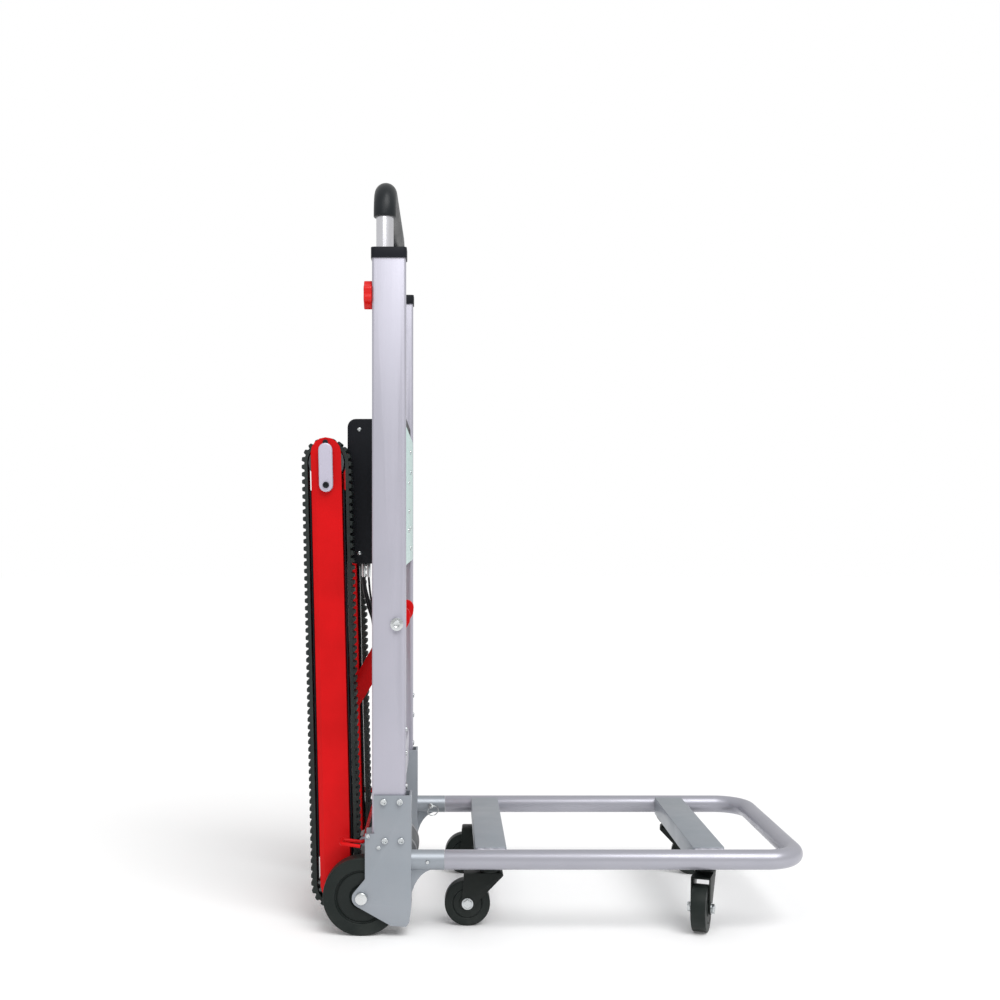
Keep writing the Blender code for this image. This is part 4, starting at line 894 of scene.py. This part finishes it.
def makePlatformTube():
    low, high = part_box("platform_tube")
    radius = (high[2] - low[2]) / 2
    z = (low[2] + high[2]) / 2
    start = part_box("wheel_bracket_left")[1][0] + gap
    front = high[0] - radius
    across = high[1] - radius
    corners = [(start, -across, z), (front, -across, z), (front, across, z), (start, across, z)]
    tube = bentTube("platformTube", radius, corners, platformDesign["bend"], 48, 18)
    roundEdges(tube, platformDesign["round"], 2, 50)
    finishPiece(tube, "root", slotOf["platform_tube"], ["platform_tube"], "tube_silver")


def makeWeldBead(node, label):           # a rippled bead where a channel meets the tube
    low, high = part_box(node)
    y = sides[label] * (high[1] + weldDesign["out"])
    z = high[2] - weldDesign["down"]
    bead = newRod(f"weldBead_{node}_{label}", weldDesign["radius"], ((low[0] + high[0]) / 2, y, z),
                  high[0] - low[0] - weldDesign["short"], "x", 20)
    pickFaces(bead, lambda face: abs(face.normal.x) < 0.5)
    bpy.ops.mesh.subdivide(number_cuts=weldDesign["cuts"])
    leaveEdit()
    for vertex in bead.data.vertices:
        swell = 1 + sum(size * math.sin(vertex.co.x * pace) for size, pace in weldDesign["ripples"])
        vertex.co.y = y + (vertex.co.y - y) * swell
        vertex.co.z = z + (vertex.co.z - z) * swell
    roundEdges(bead, weldDesign["round"], 2, 60)
    finishPiece(bead, "root", slotOf[node], finish="tube_silver")


def makeWheel(label):
    tyreNode, hubNode = "wheel_tyre_" + label, "wheel_hub_" + label
    low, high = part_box(tyreNode)
    centre = middleOf(tyreNode)
    radius = (high[2] - low[2]) / 2
    hubLow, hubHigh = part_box(hubNode)
    hubRadius = (hubHigh[2] - hubLow[2]) / 2
    wide = high[1] - low[1]
    shoulder = wheelDesign["shoulder"]
    tyre = newRod("wheelTyre_" + label, radius, centre, wide - 2 * wheelDesign["crown"], "y", 96)
    wall = radius - shoulder - hubRadius - wheelDesign["hubGap"]
    stepEnds(tyre, "y", [(shoulder, wheelDesign["crown"]), (wall, 0), *wheelDesign["well"]])
    roundEdges(tyre, wheelDesign["tyreRound"], 3, 20)
    finishPiece(tyre, "wheel_" + label, slotOf[tyreNode], [tyreNode])
    hub = newRod("wheelHub_" + label, hubRadius, centre, wide - 2 * wheelDesign["hubInset"], "y", 72)
    web = hubRadius - 2 * wheelDesign["rim"] - wheelDesign["groove"] - wheelDesign["boss"]
    stepEnds(hub, "y", [(wheelDesign["rim"], 0), (wheelDesign["groove"], -wheelDesign["grooveDeep"]),
                        (wheelDesign["rim"], wheelDesign["grooveDeep"]), (web, 0), *wheelDesign["bossSteps"]])
    roundEdges(hub, wheelDesign["hubRound"], 2, 30)
    finishPiece(hub, "wheel_" + label, slotOf[hubNode], [hubNode])


def makePinRing(label):  # the split ring that a finger pulls the lock pin by
    side = sides[label]
    pin = middleOf("lock_pin_" + label)
    inner = side * min(abs(corner[1]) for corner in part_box("lock_pin_" + label))
    bpy.ops.object.select_all(action="DESELECT")
    bpy.ops.mesh.primitive_torus_add(
        major_radius=pinRingDesign["radius"], minor_radius=pinRingDesign["wire"], major_segments=48,
        minor_segments=10,
        location=(pin.x + pinRingDesign["forward"], inner - side * pinRingDesign["out"],
                  pin.z - pinRingDesign["down"]),
        rotation=(math.pi / 2 + side * pinRingDesign["lean"], 0, side * pinRingDesign["twist"]))
    ring = takeNewest("pinRing_" + label)
    smoothOver(ring, 60)
    finishPiece(ring, "lock_pin_body_" + label, "zinc")


def makeBracketFittings(label):
    side = sides[label]
    face = side * (uprightY + bracketDesign["faceOut"])
    softenNode("wheel_bracket_" + label, bracketDesign["round"])
    for count, (x, z) in enumerate(bracketDesign["bolts"]):
        makeSocketScrew(f"bracketBolt_{label}_{count}", (frameX + x * mm, face, z * mm), side,
                        bracketDesign["boltRadius"], "zinc", "root", tall=bracketDesign["boltTall"])
    for count, (x, z) in enumerate(bracketDesign["screws"]):
        makeSocketScrew(f"bracketScrew_{label}_{count}", (frameX + x * mm, face, z * mm), side,
                        bracketDesign["screwRadius"], "zinc", "root")
    softenNode("wheel_axle_" + label, bracketDesign["axleRound"], 3)
    softenNode("lock_pin_" + label, 0.0006)
    makePinRing(label)


casterDesign = {"round": 0.0007, "wide": 0.0235, "shoulder": 0.004, "crown": 0.0004, "wall": 0.34,
                "wallStep": 0.0004, "groove": 0.0012, "grooveDeep": 0.0018, "web": 0.24, "webDeep": 0.0012,
                "boss": (0.0008, 0.0018), "boltOut": 0.0161, "boltRadius": 0.0072, "boltTall": 0.0045,
                "nutOut": 0.0165, "nutRadius": 0.0042, "nutTall": 0.003}


def turnAbout(piece, centre, angle):
    piece.matrix_world = Matrix.Translation(centre) @ Matrix.Rotation(angle, 4, "Z")
    settle(piece)


def makeCasterWheel(name, centre, angle):
    node = "caster_wheel_" + name
    radius = centre.z
    wheel = newRod("casterWheel_" + name, radius, (0, 0, 0), casterDesign["wide"], "y", 72)
    stepEnds(wheel, "y", [(casterDesign["shoulder"], casterDesign["crown"]),
                          (radius * casterDesign["wall"] - casterDesign["shoulder"], 0),
                          (casterDesign["wallStep"], -casterDesign["grooveDeep"]), (casterDesign["groove"], 0),
                          (casterDesign["wallStep"], casterDesign["grooveDeep"]),
                          (radius * casterDesign["web"], -casterDesign["webDeep"]), casterDesign["boss"]])
    roundEdges(wheel, casterDesign["round"], 3, 30)
    turnAbout(wheel, centre, angle)
    finishPiece(wheel, "caster_roll_" + name, slotOf[node], [node])


def makeCaster(name):
    softenNode("caster_plate_" + name, casterDesign["round"])
    softenNode("caster_fork_" + name, casterDesign["round"])
    centre = middleOf("caster_wheel_" + name)
    swivel = middleOf("caster_plate_" + name)
    angle = math.atan2(swivel.y - centre.y, swivel.x - centre.x)
    makeCasterWheel(name, centre, angle)
    for word, end in (("near", -1), ("far", 1)):
        bolt = shapeHexBolt(f"casterBolt_{name}_{word}", (0, end * casterDesign["boltOut"], 0), end,
                            casterDesign["boltRadius"], casterDesign["boltTall"])
        turnAbout(bolt, centre, angle)
        finishPiece(bolt, "caster_swivel_" + name, "zinc")
    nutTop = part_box("caster_plate_" + name)[1][2] - casterDesign["nutTall"]
    for x in (-1, 1):                                # the nuts under the plate's corners
        for y in (-1, 1):
            spot = (swivel.x + x * casterDesign["nutOut"], swivel.y + y * casterDesign["nutOut"], nutTop)
            nut = shapeHexBolt(f"plateNut_{name}_{x + 1}_{y + 1}", spot, -1, casterDesign["nutRadius"],
                               casterDesign["nutTall"], "z", False)
            finishPiece(nut, "root", "zinc")


makePlatformTube()
for node in ("rear_channel", "front_channel"):
    softenNode(node, platformDesign["channelRound"])
    for label in sides:
        makeWeldBead(node, label)
for label in sides:
    makeWheel(label)
    makeBracketFittings(label)
for name in casterNames:
    makeCaster(name)
print("stage: platform, brackets and wheels made")


motorDesign = {"bandsIn": (0.024, 0.012), "bandProud": 0.0007, "bolts": 4, "boltCircle": 0.024,
               "boltRadius": 0.0036, "boltTall": 0.0032}
bandDesign = {"tall": 0.007, "steps": [(0.001, 0.0003)], "round": 0.0003, "sidesRound": 72}
terminalDesign = {"halfX": 0.016, "halfY": 0.018, "sink": 0.006, "tall": 0.010,
                  "lid": [(0.0025, 0), (0.0004, 0.0018)], "round": 0.0012}
gearboxDesign = {"screws": 6, "screwCircle": 0.0245, "screwRadius": 0.0030, "coverTurns": (0.3, 1.2, 2.1, 5.2)}
bearingDesign = {"radius": 0.0185, "out": 0.0008, "tall": 0.002, "steps": [(0.0025, 0.0006), (0.003, 0)],
                 "round": 0.0004, "sidesRound": 56}
collarDesign = {"radius": 0.0135, "out": 0.0105, "tall": 0.008, "steps": [(0.0009, 0.0004)], "round": 0.0004,
                "sidesRound": 48, "screwRadius": 0.0022, "screwSink": 0.0004}
flangeDesign = {"radius": 0.0175, "tall": 0.0044, "steps": [(0.003, 0), (0.0006, 0.0012)], "round": 0.0005,
                "sidesRound": 56}
lidDesign = {"edge": 0.0034, "front": 0.0006, "overlap": 0.004, "frame": 0.003, "deep": 0.0008,
             "round": 0.0005}
uprightScrewDesign = {"radius": 0.0045, "heights": [0.330, 0.292, 0.238]}


def ringSpot(centre, circle, turn, y):
    return (centre.x + circle * math.cos(turn), y, centre.z + circle * math.sin(turn))


def makeMotorDetails():
    low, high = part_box("motor")
    at = middleOf("motor")
    radius = (high[2] - low[2]) / 2
    fromLow, fromHigh = motorDesign["bandsIn"]
    for count, y in enumerate((high[1] - fromHigh, low[1] + fromLow)):
        around = {**bandDesign, "radius": radius + motorDesign["bandProud"]}
        band = turnPiece(f"motorBand_{count}", (at.x, y, at.z), around)
        finishPiece(band, "root", "motor_grey", finish="machined_steel")
    for count in range(motorDesign["bolts"]):
        turn = math.pi / 4 + count * 2 * math.pi / motorDesign["bolts"]
        bolt = shapeHexBolt(f"motorBolt_{count}", ringSpot(at, motorDesign["boltCircle"], turn, low[1]), -1,
                            motorDesign["boltRadius"], motorDesign["boltTall"])
        finishPiece(bolt, "root", "zinc")


def makeTerminalBox():   # the motor lead ends in it
    at = middleOf("motor")
    y = middleOf("motor_cable").y
    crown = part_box("motor")[1][2]
    halfX, halfY = terminalDesign["halfX"], terminalDesign["halfY"]
    terminal = newBox("terminalBox", (at.x - halfX, y - halfY, crown - terminalDesign["sink"]),
                      (at.x + halfX, y + halfY, crown + terminalDesign["tall"]))
    pickFaces(terminal, lambda face: face.normal.z > 0.5)
    for inwards, push in terminalDesign["lid"]:
        bpy.ops.mesh.inset(thickness=inwards, depth=push)
    leaveEdit()
    roundEdges(terminal, terminalDesign["round"], 3)
    finishPiece(terminal, "root", "black_plastic")


def makeShaftFittings(label, face):      # a bearing cover and a locking collar outside the gearbox's face
    side = sides[label]
    spot = (driveAxis.x, side * (face + bearingDesign["out"]), driveAxis.z)
    cover = turnPiece("bearingCover_" + label, spot, bearingDesign, ends=(side,))
    finishPiece(cover, "root", "cast_alloy")
    y = side * (face + collarDesign["out"])
    collar = turnPiece("shaftCollar_" + label, (driveAxis.x, y, driveAxis.z), collarDesign)
    finishPiece(collar, "drive_axle", "machined_steel")
    top = driveAxis.z + collarDesign["radius"] - collarDesign["screwSink"]
    makeSocketScrew("collarScrew_" + label, (driveAxis.x, y, top), 1, collarDesign["screwRadius"],
                    "black_plastic", "drive_axle", "z")


def makeTrackBearing(label):             # a flanged bush on the inner plate's inside
    side = sides[label]
    plate = min(abs(corner[1]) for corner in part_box("track_inner_plate_" + label))
    y = side * (plate - flangeDesign["tall"] / 2)
    flange = turnPiece("trackBearing_" + label, (driveAxis.x, y, driveAxis.z), flangeDesign, ends=(-side,))
    finishPiece(flange, "track", "pulley_alloy")


def makeGearboxDetails():
    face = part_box("gearbox")[1][1]
    for label, side in sides.items():
        for count in range(gearboxDesign["screws"]):
            turn = math.pi / 2 + (count + 0.5) * math.pi / gearboxDesign["screws"]
            makeSocketScrew(f"gearboxScrew_{label}_{count}",
                            ringSpot(driveAxis, gearboxDesign["screwCircle"], turn, side * face), side,
                            gearboxDesign["screwRadius"], "zinc", "root")
        makeShaftFittings(label, face)
        makeTrackBearing(label)
    for count, turn in enumerate(gearboxDesign["coverTurns"]):
        makeSocketScrew(f"gearboxCoverScrew_{count}",
                        ringSpot(middleOf("motor"), gearboxDesign["screwCircle"], turn, face), 1,
                        gearboxDesign["screwRadius"], "zinc", "root")


def makeCaseLid():       # closes the battery case above the panel
    caseLow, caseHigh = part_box("battery_case")
    edge = lidDesign["edge"]
    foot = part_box("mounting_panel")[1][2] - lidDesign["overlap"]
    lid = newBox("caseLid", (caseHigh[0] - edge, caseLow[1] + edge, foot),
                 (caseHigh[0] - lidDesign["front"], caseHigh[1] - edge, caseHigh[2] - edge))
    pickFaces(lid, lambda face: face.normal.x > 0.5)
    bpy.ops.mesh.inset(thickness=lidDesign["frame"], depth=-lidDesign["deep"])
    leaveEdit()
    roundEdges(lid, lidDesign["round"])
    finishPiece(lid, "root", "black_plastic")


makeMotorDetails()
makeTerminalBox()
makeGearboxDetails()
makeCaseLid()
for label, side in sides.items():
    for count, z in enumerate(uprightScrewDesign["heights"]):
        spot = (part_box("upright_left")[1][0], side * uprightY, z)
        makeCrossScrew(f"uprightScrew_{label}_{count}", spot, 1, uprightScrewDesign["radius"], "zinc", "root",
                       "x")
print("stage: drive details made")


view = {"place": (-0.1725, -2.205, 0.653), "lens": 44.55, "shiftX": 0.052, "shiftY": 0.0294}
floorDesign = {"size": 30, "light": (0.97, 0.97, 0.97), "dark": (0.95, 0.95, 0.95), "roughness": 0.55,
               "glow": 0.06}
lightDesign = {"sky": 0.62, "sun": 1.75, "sunWide": 38, "sunAim": (-0.40, 0.62, -1.0),
               "lamp": 4.5, "lampWide": 0.9, "lampPlace": (-0.3, -1.2, 1.9), "lampAim": (0.0, 1.2, -0.9)}
white = (1.0, 1.0, 1.0, 1.0)


def placeCamera():
    bpy.ops.object.select_all(action="DESELECT")
    bpy.ops.object.camera_add(location=view["place"], rotation=(math.pi / 2, 0, 0))
    camera = bpy.context.active_object
    camera.data.lens = view["lens"]
    camera.data.shift_x = view["shiftX"]
    camera.data.shift_y = view["shiftY"]
    bpy.context.scene.camera = camera
    bpy.context.scene.view_settings.view_transform = "Standard"


def makeFloor():
    bpy.ops.object.select_all(action="DESELECT")
    bpy.ops.mesh.primitive_plane_add(size=floorDesign["size"], location=(0, 0, 0))
    floor = bpy.context.active_object
    floor.name = "studioFloor"
    pale, tree, shader, where = startMaterial("paleFloor")
    tone = mixColour(tree, noiseNode(tree, where, 3.0, 4.0), floorDesign["light"], floorDesign["dark"])
    tree.links.new(tone, shader.inputs["Base Color"])
    shader.inputs["Roughness"].default_value = floorDesign["roughness"]
    shader.inputs["Emission Color"].default_value = white
    shader.inputs["Emission Strength"].default_value = floorDesign["glow"]
    floor.data.materials.append(pale)


def makeSky():           # white to the camera, dimmer as a light
    world = bpy.data.worlds.new("studioWorld")
    world.use_nodes = True
    tree = world.node_tree
    sky = tree.nodes["Background"]
    sky.inputs["Color"].default_value = white
    seen = addNode(tree, "ShaderNodeLightPath").outputs["Is Camera Ray"]
    tree.links.new(remap(tree, seen, lightDesign["sky"], 1.0, 0.0, 1.0), sky.inputs["Strength"])
    bpy.context.scene.world = world


def addLight(kind, name, energy, aim, place):
    bpy.ops.object.select_all(action="DESELECT")
    bpy.ops.object.light_add(type=kind, location=place)
    light = bpy.context.active_object
    light.name = name
    light.data.energy = energy
    light.rotation_euler = Vector(aim).to_track_quat("-Z", "Y").to_euler()
    return light


placeCamera()
makeFloor()
makeSky()
sun = addLight("SUN", "keyLight", lightDesign["sun"], lightDesign["sunAim"], (-1, -2, 3))
sun.data.angle = math.radians(lightDesign["sunWide"])
lamp = addLight("AREA", "topLamp", lightDesign["lamp"], lightDesign["lampAim"], lightDesign["lampPlace"])
lamp.data.size = lightDesign["lampWide"]
print("stage: studio ready")
